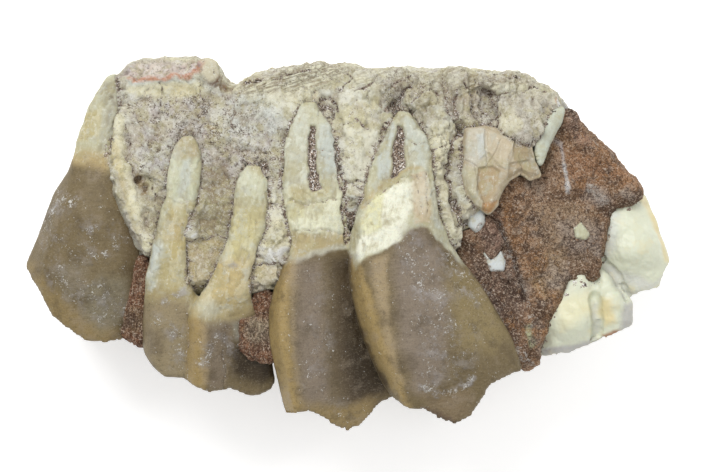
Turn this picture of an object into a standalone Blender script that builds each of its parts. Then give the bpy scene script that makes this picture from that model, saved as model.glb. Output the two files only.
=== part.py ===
"""Fossil section of an oreodont's upper jaw, lying on its palate with the cheek side up.

+X runs along the tooth row towards the back of the mouth, +Y from the crowns to the roots, and +Z from
the palate to the cheek. The origin is below the middle of the piece, on the surface that it rests on. Each
piece is one solid: the jawbone, four teeth, the sandstone round them and the broken bits stuck in it.
"""

import math

import bmesh
import bpy
import numpy as np
from mathutils import Vector, noise

# Driving sizes. Outlines and levels below are in millimetres, and MM turns them into metres.
MM = 0.001
# How far the sides of a tooth fall away, as a share of its half depth: a root's broken cheek face is nearly
# flat, and the palate side of the whole tooth is round. The half depth that is left at the very tip of a root
# is larger on the cheek side for the same reason.
ROOT_ROUNDING = 0.08
PALATE_ROUNDING = 0.55
CHEEK_TIP = 0.9
PALATE_TIP = 0.5
# Gap that keeps touching pieces apart, and the largest factor by which a sharp corner of a room may pass it.
FIT_GAP = 0.3
CORNER_FACTOR = 1.6
# Cheek side of the bone: its highest level, where that is, and how fast it falls away from there.
BONE_FRONT = 14.7
BONE_FRONT_MIDDLE = (-1.0, 5.0)
BONE_FALL_ALONG = 0.005
BONE_FALL_UP = 0.03
BONE_FALL_REAR = 0.02
BONE_REAR_START = 9.0
# Palate side of the bone, with the broken stump of the palate that the fossil rests on.
BONE_BACK = 2.4
PALATE_STUMP = (-1.5, 1.6)
PALATE_STUMP_REACH = (13.0, 3.6)
PALATE_STUMP_HEIGHT = 3.2
# Levels of the sandstone block's two sides.
MATRIX_FRONT = 13.1
MATRIX_BACK = 1.6
# Rounding of the broken rims, and the weathering of broken faces: size and height of its waves and lumps.
BONE_RIM = 0.8
MATRIX_RIM = 0.9
WAVE_SIZE = 3.0
WAVE_HEIGHT = 0.4
LUMP_SIZE = 3.4
LUMP_HEIGHT = 0.5
# The broken bits: how proud their faces stand, their chamfers, and how deep they reach.
BIT_BACK = 8.0
FRAGMENT_PROUD = 0.4
FRAGMENT_CHAMFER = 0.4
PLATE_PROUD = 0.1
CHIP_PROUD = 0.12
THIN_CHAMFER = 0.15
CHIP_BACKS = (11.4, 10.8, 10.2)
WEDGE_BACK = 4.0
WEDGE_CHAMFER = 0.5
WEDGE_FRONT_LEVEL = 12.2
WEDGE_MIDDLE_LEVEL = 13.6

# Divisions of the blocks, across, deep and high, and the triangles that each piece keeps before it is cut.
TOOTH_GRID = (12, 8, 18)
BONE_GRID = (40, 18, 8)
MATRIX_GRID = (20, 14, 7)
PREMOLAR_TRIANGLES = 640
FIRST_MOLAR_TRIANGLES = 540
SECOND_MOLAR_TRIANGLES = 680
THIRD_MOLAR_TRIANGLES = 380
BONE_TRIANGLES = 1600
MATRIX_TRIANGLES = 740
ROOM_SHARE = 0.6

# Colours: base colour and roughness.
BONE = ((0.50, 0.46, 0.38), 0.85)
ROOT_CREAM = ((0.72, 0.64, 0.42), 0.45)
ENAMEL_BROWN = ((0.30, 0.24, 0.17), 0.35)
ENAMEL_CREAM = ((0.78, 0.74, 0.56), 0.40)
ENAMEL_WHITE = ((0.78, 0.80, 0.76), 0.40)
SANDSTONE_RED = ((0.25, 0.12, 0.08), 0.95)
SANDSTONE_PALE = ((0.45, 0.30, 0.22), 0.95)

# Outline of the jawbone, upper edge and the two lower edges, left to right.
BONE_TOP = (
    (-20.9, 4.4), (-20.2, 8.4), (-19.1, 11.4), (-17.3, 13.4), (-16.0, 14.2), (-14.2, 14.45), (-10.6, 14.2),
    (-10.2, 12.9), (-9.2, 11.9), (-6.8, 13.2), (-2.5, 13.8), (0.2, 13.8), (1.9, 13.3), (3.1, 13.6),
    (9.6, 13.3), (13.2, 13.2), (14.6, 12.6), (15.8, 11.8), (16.7, 10.6),
)
BONE_LOWER_CHEEK = (
    (-20.9, 3.6), (-18.6, 4.5), (-17.2, 2.2), (-16.5, -0.5), (-15.5, -1.3), (-12.8, -3.6), (-11.2, -4.1),
    (-10.1, -2.9), (-7.8, -4.3), (-6.0, -3.7), (-4.1, -1.7), (0.0, -0.6), (3.8, 0.4), (7.3, 0.0),
    (8.2, -1.2), (8.8, 1.9), (10.6, 2.2), (12.2, 4.6), (14.6, 5.1), (15.2, 7.2), (16.7, 10.2),
)
BONE_LOWER_PALATE = (
    (-20.9, 3.4), (-19.0, 1.6), (-16.8, -1.8), (-13.0, -4.2), (-4.0, -4.6), (4.0, -4.0), (8.2, -3.0),
    (9.4, 0.0), (12.2, 3.6), (15.2, 6.2), (16.7, 10.2),
)
# Lumps and pits on the cheek side of the bone: place, reach in X and Y, height.
BONE_LUMPS = (
    ((-14.6, 13.2), (3.2, 1.3), 0.9),
    ((-10.7, 13.2), (0.9, 1.2), 0.6),
    ((13.4, 9.6), (2.2, 2.2), 0.7),
    ((6.5, 12.2), (3.5, 1.0), 0.4),
    ((-1.5, 12.3), (4.0, 0.9), 0.3),
    ((-20.2, 8.0), (1.5, 6.0), -3.5),
    ((-9.2, 12.2), (0.8, 0.8), -0.9),
    ((-16.0, 4.5), (0.7, 0.7), -0.9),
    ((11.0, 10.7), (0.9, 0.7), -0.7),
    ((-13.5, 9.6), (4.0, 2.2), -0.5),
)
# Ridges and grooves on the cheek side of the bone: points along each, its reach to both sides, its height.
BONE_RIDGES = (
    (((-19.0, 8.6), (-18.0, 6.0), (-17.0, 3.6), (-16.2, 0.0)), 0.8, 0.7),
    (((-12.4, 3.6), (-11.6, -1.0), (-11.4, -2.8)), 1.0, 0.4),
    (((-6.0, 4.0), (-5.6, 0.0), (-6.0, -2.6)), 0.9, 0.4),
    (((0.8, 11.5), (0.4, 7.5), (0.4, 3.5)), 1.0, 0.5),
    (((7.4, 9.4), (7.2, 5.0), (7.8, 2.0)), 0.7, 0.5),
    (((-8.8, 12.6), (-5.0, 13.0), (-1.0, 13.2), (2.0, 12.6)), 0.6, 0.5),
    (((-9.2, 11.9), (-6.4, 12.4), (-3.6, 12.0)), 0.5, -0.5),
    (((-3.4, 10.8), (-2.6, 11.2), (-1.4, 10.2)), 0.6, -0.5),
    (((2.8, 9.6), (4.0, 10.4), (5.6, 9.4)), 0.6, -0.5),
    (((8.6, 9.2), (7.8, 7.4), (7.8, 4.0), (9.0, 0.4)), 0.5, -0.5),
    (((10.6, 11.6), (11.3, 9.4), (10.8, 8.6)), 0.6, -0.5),
)

# Outline of the sandstone block, upper and lower edge, left to right.
MATRIX_TOP = (
    (8.4, 1.0), (9.1, 2.4), (10.6, 3.0), (12.2, 5.4), (14.6, 6.0), (15.4, 8.2), (16.9, 10.8), (18.1, 8.9),
    (19.2, 7.8), (20.4, 7.1), (21.7, 5.5), (22.4, 4.6), (22.8, 3.2),
)
MATRIX_LOWER = (
    (8.4, -1.4), (9.8, -4.6), (11.4, -6.6), (13.0, -9.4), (13.7, -10.1), (14.3, -9.6), (14.9, -8.0),
    (15.6, -5.8), (16.2, -4.8), (17.3, -4.5), (18.6, -3.9), (19.5, -3.0), (19.8, 1.0), (20.6, 2.4),
    (22.2, 2.5), (22.8, 3.0),
)

# Outlines of the two sandstone wedges between the teeth, and of the broken bits stuck in the fossil.
WEDGE_FRONT = (
    (-16.4, -0.2), (-15.2, -0.4), (-14.4, -4.0), (-14.8, -7.9), (-16.2, -7.9), (-17.6, -7.3), (-17.2, -3.0),
)
WEDGE_MIDDLE = (
    (-7.8, -4.0), (-6.0, -3.4), (-4.6, -3.9), (-4.6, -8.0), (-6.2, -9.3), (-7.3, -9.2), (-8.6, -8.4),
    (-9.0, -6.0),
)
FRAGMENT = (
    (8.9, 8.6), (10.2, 8.8), (11.3, 8.6), (12.5, 7.5), (13.9, 7.3), (14.1, 6.2), (14.6, 5.1), (13.8, 4.8),
    (13.1, 5.3), (12.2, 4.8), (11.6, 4.0), (11.2, 2.8), (10.6, 2.2), (9.8, 2.8), (9.0, 3.6), (8.7, 5.0),
)
PLATE = ((16.4, 10.3), (16.2, 9.3), (15.2, 7.5), (14.6, 5.9), (14.2, 6.5), (14.8, 8.6), (15.7, 10.0))
CHIPS = (
    ((9.0, 2.2), (10.2, 1.9), (10.3, 1.3), (9.7, 0.8), (9.2, 1.1)),
    ((10.2, -0.7), (10.8, -1.4), (11.2, -1.2), (11.6, -0.7), (11.9, -1.5), (11.8, -2.2), (10.8, -2.2)),
    ((17.2, 1.1), (17.8, 1.5), (18.5, 0.6), (18.2, 0.2), (17.4, 0.3)),
)


class Lobe:
    """One lobe of a tooth, root and crown in one, by its cheek-side outline and its levels.

    left, right: its sides, as points from the root's tip to the crown's edge.
    edge: the crown's biting edge on the cheek side, left to right.
    front, back: levels of the cheek and palate sides, as (y, z).
    section: how far the crown's cheek side stands off its level, as (place from -1 left to 1 right, z).
    neck: height at which the root turns into the crown. cup: depth of the hollow in the biting surface.
    """

    def __init__(self, left, right, edge, front, back, section, neck, cup):
        self.left = profile((y, x) for x, y in left)
        self.right = profile((y, x) for x, y in right)
        self.edge = profile(edge)
        self.edge_ends = (edge[0][0], edge[-1][0])
        self.front = profile(front)
        self.back = profile(back)
        self.section = profile(section)
        self.neck = neck
        self.cup = cup
        self.tip = max(y for x, y in left + right)

    def place(self, across, deep, high):
        """The point at these shares from -1 to 1: left to right, palate to cheek, edge to tip."""
        side = (across + 1) / 2
        deep = math.sin(deep * math.pi / 2)
        low = self.edge(self.edge_ends[0] + (self.edge_ends[1] - self.edge_ends[0]) * side)
        low += self.cup * (1 - deep * deep) * (1 - 0.5 * across * across)
        low += 0.8 * (1 - deep) * across * across
        rise = (high + 1) / 2
        y = low + (self.tip - low) * rise
        crown = smooth_step(self.neck + 1.2, self.neck - 1.8, y)
        left, right = self.left(y), self.right(y)
        narrowing = 1 - crown * 0.22 * (1 - deep) / 2
        tip_round = math.sqrt(1 - max(0.0, (rise - 0.88) / 0.125) ** 2)
        x = (left + right) / 2 + (right - left) / 2 * across * narrowing * (0.35 + 0.65 * tip_round)
        front, back = self.front(y), self.back(y)
        middle = (front + back) / 2
        root = middle + (front - middle) * (1 - ROOT_ROUNDING * across**8)
        cheek = crown * (front + self.section(across)) + (1 - crown) * root
        palate = middle + (back - middle) * (1 - PALATE_ROUNDING * across**4)
        tip = CHEEK_TIP if deep > 0 else PALATE_TIP
        z = (cheek + palate) / 2 + (cheek - palate) / 2 * deep * (tip + (1 - tip) * tip_round)
        return Vector((x, y, z)) * MM


def profile(points):
    """A function that reads between these (place, value) points and holds the end values outside them."""
    places, values = zip(*sorted(points))
    return lambda place: float(np.interp(place, places, values))


def smooth_step(start, end, value):
    """0 at start, 1 at end, and smooth between them, whichever is larger."""
    share = min(1.0, max(0.0, (value - start) / (end - start)))
    return share * share * (3 - 2 * share)


def weathered(x, y, z, seed):
    """How far a broken face stands out here: fractal waves, and rounded lumps with creases between them."""
    shift = Vector((seed * 7.3, -seed * 3.1, seed))
    place = Vector((x, y, z))
    waves = WAVE_HEIGHT * noise.fractal(place / WAVE_SIZE + shift, 1.0, 2.0, 3)
    nearest = noise.voronoi(place / LUMP_SIZE + shift)[0][0]
    return waves + LUMP_HEIGHT * (0.45 - nearest)


PREMOLAR = Lobe(
    left=(
        (-18.8, 12.8), (-20.2, 10.0), (-21.1, 6.7), (-21.5, 5.4),
        (-22.7, 3.8), (-24.0, 0.3), (-25.0, -2.0),
    ),
    right=(
        (-17.9, 12.5), (-18.1, 9.0), (-17.9, 6.0), (-17.2, 4.5),
        (-16.7, 2.5), (-16.3, -1.0), (-16.7, -7.4),
    ),
    edge=(
        (-25.0, -2.0), (-23.6, -4.2), (-22.9, -5.8), (-21.5, -6.8),
        (-20.0, -7.8), (-18.1, -7.6), (-16.7, -7.4),
    ),
    front=((12.8, 11.0), (9.0, 12.3), (5.5, 12.7), (2.0, 13.3), (-3.0, 12.8), (-7.8, 11.4)),
    back=((12.8, 8.0), (9.0, 6.5), (5.0, 3.8), (1.0, 2.4), (-4.0, 2.4), (-7.8, 3.6)),
    section=((-1.0, -2.6), (-0.7, -0.9), (-0.2, 0.0), (0.4, -0.1), (0.8, -0.7), (1.0, -1.4)),
    neck=5.0,
    cup=2.6,
)
FIRST_MOLAR_FRONT = Lobe(
    left=(
        (-13.2, 8.0), (-13.8, 5.5), (-13.9, 3.6), (-14.8, 1.1),
        (-15.4, -2.2), (-15.8, -6.0), (-15.8, -8.3),
    ),
    right=(
        (-11.7, 8.0), (-11.4, 5.7), (-11.8, 3.1), (-12.8, 0.5),
        (-12.6, -2.9), (-11.4, -4.8), (-11.0, -10.5),
    ),
    edge=((-15.8, -8.3), (-15.3, -9.3), (-14.3, -10.3), (-11.0, -10.6)),
    front=((8.0, 14.4), (3.0, 14.6), (-1.0, 14.5), (-4.0, 14.0), (-7.0, 13.6), (-10.5, 12.4)),
    back=((8.0, 10.0), (3.0, 7.0), (-1.0, 3.5), (-4.0, 1.9), (-8.0, 2.0), (-10.5, 3.2)),
    section=((-1.0, -1.2), (-0.6, -0.1), (0.0, 0.1), (0.6, 0.0), (1.0, -0.6)),
    neck=-4.2,
    cup=1.6,
)
FIRST_MOLAR_REAR = Lobe(
    left=(
        (-8.4, 5.8), (-8.8, 3.2), (-9.1, 1.3), (-9.4, -0.5),
        (-10.8, -3.3), (-12.2, -5.4), (-12.4, -10.8),
    ),
    right=(
        (-6.6, 5.8), (-6.2, 4.4), (-6.5, 1.1), (-7.2, -0.6),
        (-7.7, -2.5), (-7.7, -4.5), (-6.3, -8.3), (-5.9, -10.9),
    ),
    edge=((-12.4, -10.8), (-10.8, -11.5), (-9.2, -11.2), (-7.5, -11.9), (-6.5, -11.6), (-5.9, -10.9)),
    front=((5.8, 14.9), (2.0, 15.0), (-2.0, 15.0), (-5.0, 14.7), (-8.0, 14.1), (-11.9, 12.6)),
    back=((5.8, 10.0), (2.0, 6.5), (-2.0, 2.8), (-5.0, 1.7), (-9.0, 2.0), (-11.9, 3.3)),
    section=((-1.0, -0.5), (-0.8, 0.4), (-0.5, 0.1), (0.0, -0.9), (0.5, -1.5), (1.0, -1.7)),
    neck=-4.6,
    cup=1.8,
)
SECOND_MOLAR_FRONT = Lobe(
    left=(
        (-3.9, 10.5), (-4.8, 8.2), (-5.2, 4.9), (-4.7, 1.5), (-4.4, -0.1),
        (-5.6, -3.3), (-6.1, -5.4), (-6.0, -7.9), (-4.8, -13.2),
    ),
    right=((-2.4, 10.6), (-1.2, 7.8), (-0.6, 4.4), (-0.3, 0.5), (2.0, -2.5), (3.6, -7.2), (4.4, -11.2)),
    edge=(
        (-4.8, -13.2), (-3.1, -12.9), (-2.3, -13.3), (-0.5, -14.5),
        (0.6, -14.2), (1.9, -12.7), (4.4, -11.2),
    ),
    front=((10.5, 14.4), (6.0, 14.9), (2.0, 15.1), (-0.5, 15.0), (-4.0, 15.4), (-8.0, 15.0), (-14.5, 13.0)),
    back=((10.5, 9.5), (5.0, 6.5), (1.0, 3.5), (-2.0, 1.7), (-6.0, 1.3), (-10.0, 2.0), (-14.5, 3.8)),
    section=((-1.0, -1.3), (-0.82, 0.3), (-0.6, 0.0), (-0.2, -0.7), (0.3, -1.5), (0.7, -2.2), (1.0, -2.2)),
    neck=-1.0,
    cup=3.4,
)
SECOND_MOLAR_REAR = Lobe(
    left=(
        (3.4, 9.5), (2.0, 6.7), (0.9, 3.0), (0.2, 0.6),
        (0.0, -2.5), (0.9, -6.8), (2.5, -10.6), (3.3, -11.8),
    ),
    right=(
        (4.8, 9.9), (6.1, 7.1), (6.3, 4.8), (6.6, 2.5), (7.4, 0.2),
        (8.5, -1.5), (10.0, -3.5), (12.2, -7.2), (13.2, -9.9),
    ),
    edge=(
        (3.3, -11.8), (4.5, -13.1), (5.3, -12.5), (6.1, -13.0), (7.7, -13.9),
        (8.7, -14.0), (9.5, -12.9), (10.8, -10.9), (13.2, -9.9),
    ),
    front=((9.9, 14.5), (6.0, 15.2), (2.0, 16.1), (-1.0, 16.4), (-5.0, 16.4), (-9.0, 15.6), (-14.0, 13.4)),
    back=((9.9, 9.8), (5.0, 6.5), (1.0, 3.0), (-2.0, 1.5), (-6.0, 1.1), (-10.0, 1.8), (-14.0, 3.6)),
    section=((-1.0, -1.6), (-0.86, -0.1), (-0.7, 0.4), (-0.4, 0.0), (0.0, -0.3), (0.5, -0.9), (1.0, -2.6)),
    neck=1.0,
    cup=3.6,
)
THIRD_MOLAR_FRONT = Lobe(
    left=((16.6, -1.0), (15.5, -3.1), (14.5, -4.5), (13.9, -6.4), (13.9, -7.9), (15.0, -9.1)),
    right=((18.5, -0.2), (20.2, -2.0), (21.2, -3.7), (22.0, -4.7), (21.9, -6.6)),
    edge=((15.0, -9.1), (17.1, -8.8), (18.8, -8.2), (19.9, -7.6), (21.9, -6.6)),
    front=((0.0, 10.0), (-3.0, 11.0), (-6.0, 11.5), (-9.0, 10.2)),
    back=((0.0, 4.0), (-4.0, 2.6), (-9.0, 4.2)),
    section=((-1.0, -1.0), (-0.5, 0.1), (0.0, 0.0), (0.3, -0.5), (0.6, 0.0), (1.0, -1.0)),
    neck=2.0,
    cup=2.0,
)
THIRD_MOLAR_REAR = Lobe(
    left=((19.7, 4.9), (19.4, 3.2), (19.2, 1.3), (19.4, -0.6), (20.2, -2.8), (21.5, -4.4)),
    right=((20.9, 5.5), (22.2, 4.9), (23.1, 3.5), (23.8, 1.7), (24.5, -0.3), (25.0, -1.5)),
    edge=((21.5, -4.4), (22.4, -4.2), (23.1, -3.9), (24.2, -3.8), (24.5, -2.4), (25.0, -1.5)),
    front=((5.5, 8.6), (2.0, 10.2), (-1.0, 10.6), (-4.4, 9.4)),
    back=((5.5, 4.0), (0.0, 2.8), (-4.4, 4.4)),
    section=((-1.0, -0.4), (-0.4, 0.0), (0.3, 0.0), (0.7, -0.6), (1.0, -1.8)),
    neck=7.0,
    cup=1.6,
)


def material(name, finish):
    """A plain Principled material of this colour and roughness."""
    made = bpy.data.materials.new(name)
    made.use_nodes = True
    shader = made.node_tree.nodes["Principled BSDF"]
    colour, roughness = finish
    shader.inputs["Base Color"].default_value = (*colour, 1.0)
    shader.inputs["Roughness"].default_value = roughness
    shader.inputs["Metallic"].default_value = 0.0
    return made


def new_object(name, bm):
    """An object of this name with the bmesh's shape, its faces turned outwards."""
    bmesh.ops.recalc_face_normals(bm, faces=bm.faces[:])
    if bm.calc_volume(signed=True) < 0:
        bmesh.ops.reverse_faces(bm, faces=bm.faces[:])
    mesh = bpy.data.meshes.new(name)
    bm.to_mesh(mesh)
    bm.free()
    made = bpy.data.objects.new(name, mesh)
    bpy.context.scene.collection.objects.link(made)
    return made


def block(name, grid, place):
    """A closed block: a grid sheet, extruded layer by layer, whose points then go where place() says."""
    columns, rows, layers = grid
    bm = bmesh.new()
    bmesh.ops.create_grid(bm, x_segments=columns, y_segments=rows, size=1.0)
    for vert in bm.verts:
        vert.co.z = -1.0
    sheet = bm.faces[:]
    for layer in range(layers):
        made = bmesh.ops.extrude_face_region(bm, geom=sheet)["geom"]
        if layer:
            bmesh.ops.delete(bm, geom=sheet, context="FACES")
        sheet = [item for item in made if isinstance(item, bmesh.types.BMFace)]
        for vert in {vert for face in sheet for vert in face.verts}:
            vert.co.z = 2.0 * (layer + 1) / layers - 1.0
    for vert in bm.verts:
        vert.co = place(*vert.co)
    return new_object(name, bm)


def settle(piece):
    """Applies the modifiers and keeps the largest body, without the crumbs and fins that a cut leaves."""
    graph = bpy.context.evaluated_depsgraph_get()
    mesh = bpy.data.meshes.new_from_object(piece.evaluated_get(graph))
    piece.modifiers.clear()
    piece.data = mesh
    bm = bmesh.new()
    bm.from_mesh(mesh)
    waiting = set(bm.faces)
    bodies = []
    while waiting:
        body = {waiting.pop()}
        reached = list(body)
        while reached:
            for edge in reached.pop().edges:
                for face in edge.link_faces:
                    if face not in body:
                        body.add(face)
                        reached.append(face)
        waiting -= body
        bodies.append(body)
    bodies.sort(key=lambda body: sum(face.calc_area() for face in body))
    for body in bodies[:-1]:
        bmesh.ops.delete(bm, geom=list(body), context="FACES")
    fins = [face for face in bm.faces if any(edge.is_boundary for edge in face.edges)]
    bmesh.ops.delete(bm, geom=fins, context="FACES")
    bm.to_mesh(mesh)
    bm.free()


def thin_out(piece, triangles=0, share=1.0):
    """Collapses the piece's mesh to about this many triangles, or to this share of what it has."""
    bpy.context.view_layer.update()
    piece.data.calc_loop_triangles()
    if triangles:
        share = min(1.0, triangles / len(piece.data.loop_triangles))
    fewer = piece.modifiers.new("Thin out", "DECIMATE")
    fewer.ratio = share
    settle(piece)


def combine(piece, other, operation):
    """Adds a Boolean of the other object to the piece."""
    cut = piece.modifiers.new(operation.title(), "BOOLEAN")
    cut.operation = operation
    cut.solver = "MANIFOLD"
    cut.object = other


def as_cutter(piece):
    """Marks the object as a helper that isn't part of the fossil."""
    piece.hide_render = True
    piece.display_type = "WIRE"


def grown(piece):
    """A cutter of the piece's shape, larger by the fit gap all round."""
    bm = bmesh.new()
    bm.from_mesh(piece.data)
    bm.normal_update()
    moves = [vert.normal * min(CORNER_FACTOR, vert.calc_shell_factor()) * FIT_GAP * MM for vert in bm.verts]
    for vert, move in zip(bm.verts, moves):
        vert.co += move
    cutter = new_object(piece.name + "_room", bm)
    thin_out(cutter, share=ROOM_SHARE)
    as_cutter(cutter)
    return cutter


def make_room(piece, *cutters):
    """Cuts the room for its neighbours out of the piece."""
    for cutter in cutters:
        combine(piece, cutter, "DIFFERENCE")
    settle(piece)


def finish(piece, surface):
    """Gives the finished piece its material and smooth shading that keeps the sharp edges."""
    piece.data.materials.clear()
    piece.data.materials.append(surface)
    piece.data.shade_smooth()
    piece.data.set_sharp_from_angle(angle=math.radians(35))


def tooth(name, lobes, triangles):
    """A tooth of one or two lobes, joined into one body."""
    made = []
    for index, lobe in enumerate(lobes):
        made.append(block(name if not index else name + "_lobe", TOOTH_GRID, lobe.place))
        thin_out(made[-1], triangles)
    for extra in made[1:]:
        as_cutter(extra)
        combine(made[0], extra, "UNION")
    settle(made[0])
    return made[0]


def distance_to(points, x, y):
    """How far this place is from the line through these points."""
    place = Vector((x, y))
    best = math.inf
    for start, end in zip(points[:-1], points[1:]):
        start, run = Vector(start), Vector(end) - Vector(start)
        share = min(1.0, max(0.0, (place - start).dot(run) / run.length_squared))
        best = min(best, (place - start - run * share).length)
    return best


def bone_front(x, y):
    """Level of the cheek side of the bone."""
    level = BONE_FRONT - BONE_FALL_ALONG * (x - BONE_FRONT_MIDDLE[0]) ** 2
    level -= BONE_FALL_UP * max(0.0, y - BONE_FRONT_MIDDLE[1]) ** 2
    level -= BONE_FALL_REAR * max(0.0, x - BONE_REAR_START) ** 2
    for (lump_x, lump_y), (reach_x, reach_y), height in BONE_LUMPS:
        level += height * math.exp(-(((x - lump_x) / reach_x) ** 2) - ((y - lump_y) / reach_y) ** 2)
    for points, reach, height in BONE_RIDGES:
        level += height * math.exp(-((distance_to(points, x, y) / reach) ** 2))
    return level


def bone_back(x, y):
    """Level of the palate side: the broken stump of the palate stands out of it along the tooth row."""
    away_x = (x - PALATE_STUMP[0]) / PALATE_STUMP_REACH[0]
    away_y = (y - PALATE_STUMP[1]) / PALATE_STUMP_REACH[1]
    return BONE_BACK - PALATE_STUMP_HEIGHT * math.exp(-(away_x**4) - away_y**4)


def slab_place(top, lower_front, lower_back, front, back, rim, seed):
    """The place function of a broken slab between these edges and levels, its rims rounded this much."""
    start, end = top[0][0], top[-1][0]
    upper, lower_cheek, lower_palate = profile(top), profile(lower_front), profile(lower_back)

    def place(along, across, deep):
        bend = 1 - math.sqrt(1 - min(1.0, abs(deep)) ** 2 * 0.96)
        inset = rim * bend
        x = (start + end) / 2 + ((end - start) / 2 - inset) * along
        high = upper(x) - inset
        cheek_share = (deep + 1) / 2
        low = lower_palate(x) + (lower_cheek(x) - lower_palate(x)) * cheek_share + inset
        low = min(low, high - 0.3)
        y = (high + low) / 2 + (high - low) / 2 * across
        depth_share = (math.sin(deep * math.pi / 2) + 1) / 2
        z = back(x, y) + (front(x, y) - back(x, y)) * depth_share
        moves = [weathered(x, y, z, seed + axis) for axis in range(3)]
        return (Vector((x, y, z)) + Vector(moves)) * MM

    return place


def matrix_front(x, y):
    """Level of the sandstone's cheek side, which falls away to the right and at the top."""
    return MATRIX_FRONT - 0.22 * max(0.0, x - 10.0) - 0.1 * max(0.0, y - 4.0) - 0.15 * max(0.0, -6.0 - y)


def matrix_back(x, y):
    """Level of the sandstone's palate side."""
    return MATRIX_BACK + 0.12 * max(0.0, x - 9.0) + 0.05 * max(0.0, -y)


def plug(name, outline, front, back, proud, facet):
    """A broken bit with this outline: a prism down to its back level, its upper rim taken off all round."""
    bm = bmesh.new()
    verts = [bm.verts.new((x, y, back)) for x, y in outline]
    base = bm.faces.new(verts)
    top = bmesh.ops.extrude_face_region(bm, geom=[base])["geom"]
    lid = [item for item in top if isinstance(item, bmesh.types.BMFace)][0]
    for vert in lid.verts:
        vert.co.z = front(vert.co.x, vert.co.y) + proud - facet
    bmesh.ops.inset_individual(bm, faces=[lid], thickness=facet, depth=0.0)
    for vert in lid.verts:
        vert.co.z = front(vert.co.x, vert.co.y) + proud
    bmesh.ops.triangulate(bm, faces=bm.faces[:])
    bmesh.ops.scale(bm, vec=(MM, MM, MM), verts=bm.verts[:])
    return new_object(name, bm)


def flatten_underside(piece):
    """Cuts the piece off flat at the surface that it rests on."""
    bm = bmesh.new()
    bm.from_mesh(piece.data)
    everything = bm.verts[:] + bm.edges[:] + bm.faces[:]
    cut = bmesh.ops.bisect_plane(
        bm, geom=everything, plane_co=(0, 0, 0), plane_no=(0, 0, -1), clear_outer=True
    )
    rim = [item for item in cut["geom_cut"] if isinstance(item, bmesh.types.BMEdge)]
    bmesh.ops.contextual_create(bm, geom=rim)
    bmesh.ops.recalc_face_normals(bm, faces=bm.faces[:])
    bm.to_mesh(piece.data)
    bm.free()


for left_over in list(bpy.data.objects):
    bpy.data.objects.remove(left_over)

premolar = tooth("premolar", [PREMOLAR], PREMOLAR_TRIANGLES)
first_molar = tooth("first_molar", [FIRST_MOLAR_FRONT, FIRST_MOLAR_REAR], FIRST_MOLAR_TRIANGLES)
second_molar = tooth("second_molar", [SECOND_MOLAR_FRONT, SECOND_MOLAR_REAR], SECOND_MOLAR_TRIANGLES)
third_molar = tooth("third_molar", [THIRD_MOLAR_FRONT, THIRD_MOLAR_REAR], THIRD_MOLAR_TRIANGLES)
teeth_room = [grown(piece) for piece in (premolar, first_molar, second_molar, third_molar)]

bone_place = slab_place(BONE_TOP, BONE_LOWER_CHEEK, BONE_LOWER_PALATE, bone_front, bone_back, BONE_RIM, 1)
jawbone = block("jawbone", BONE_GRID, bone_place)
thin_out(jawbone, BONE_TRIANGLES)
flatten_underside(jawbone)
jawbone_room = grown(jawbone)

matrix_place = slab_place(MATRIX_TOP, MATRIX_LOWER, MATRIX_LOWER, matrix_front, matrix_back, MATRIX_RIM, 5)
matrix_block = block("matrix_block", MATRIX_GRID, matrix_place)
thin_out(matrix_block, MATRIX_TRIANGLES)

fragment = plug("tooth_fragment", FRAGMENT, bone_front, BIT_BACK, FRAGMENT_PROUD, FRAGMENT_CHAMFER)
plate = plug("enamel_plate", PLATE, bone_front, BIT_BACK, PLATE_PROUD, THIN_CHAMFER)
fragment_room = grown(fragment)
make_room(plate, fragment_room)
plate_room = grown(plate)
chips = []
for number, (outline, back) in enumerate(zip(CHIPS, CHIP_BACKS), 1):
    chips.append(plug(f"enamel_chip_{number}", outline, matrix_front, back, CHIP_PROUD, THIN_CHAMFER))
chip_rooms = [grown(chip) for chip in chips]

wedge_front = plug(
    "matrix_wedge_front", WEDGE_FRONT, lambda x, y: WEDGE_FRONT_LEVEL, WEDGE_BACK, 0.0, WEDGE_CHAMFER
)
wedge_middle = plug(
    "matrix_wedge_middle", WEDGE_MIDDLE, lambda x, y: WEDGE_MIDDLE_LEVEL, WEDGE_BACK, 0.0, WEDGE_CHAMFER
)

make_room(fragment, *teeth_room, *chip_rooms)
make_room(jawbone, *teeth_room, fragment_room, plate_room, *chip_rooms)
make_room(matrix_block, jawbone_room, *teeth_room, fragment_room, plate_room, *chip_rooms)
make_room(wedge_front, jawbone_room, *teeth_room)
make_room(wedge_middle, jawbone_room, *teeth_room)

bone_surface = material("bone", BONE)
brown_enamel = material("brown enamel", ENAMEL_BROWN)
red_sandstone = material("red sandstone", SANDSTONE_RED)
finish(jawbone, bone_surface)
for piece in (premolar, first_molar, second_molar):
    finish(piece, brown_enamel)
finish(third_molar, material("cream enamel", ENAMEL_CREAM))
finish(matrix_block, red_sandstone)
finish(wedge_front, red_sandstone)
finish(wedge_middle, material("pale sandstone", SANDSTONE_PALE))
finish(fragment, material("root dentine", ROOT_CREAM))
white_enamel = material("white enamel", ENAMEL_WHITE)
for piece in (plate, *chips):
    finish(piece, white_enamel)
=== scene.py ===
"""How the fossil oreodont jaw section looks: a broken upper jaw with its teeth, its cheek side up.

Every piece takes its form from its solid in the frame. Sizes and places are in millimetres from the frame's
origin, +X along the tooth row, +Y from the crowns to the roots, and +Z from the palate to the cheek.
"""

import math

import bmesh
import bpy
import numpy as np
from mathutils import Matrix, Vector, noise
from mathutils.bvhtree import BVHTree


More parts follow.
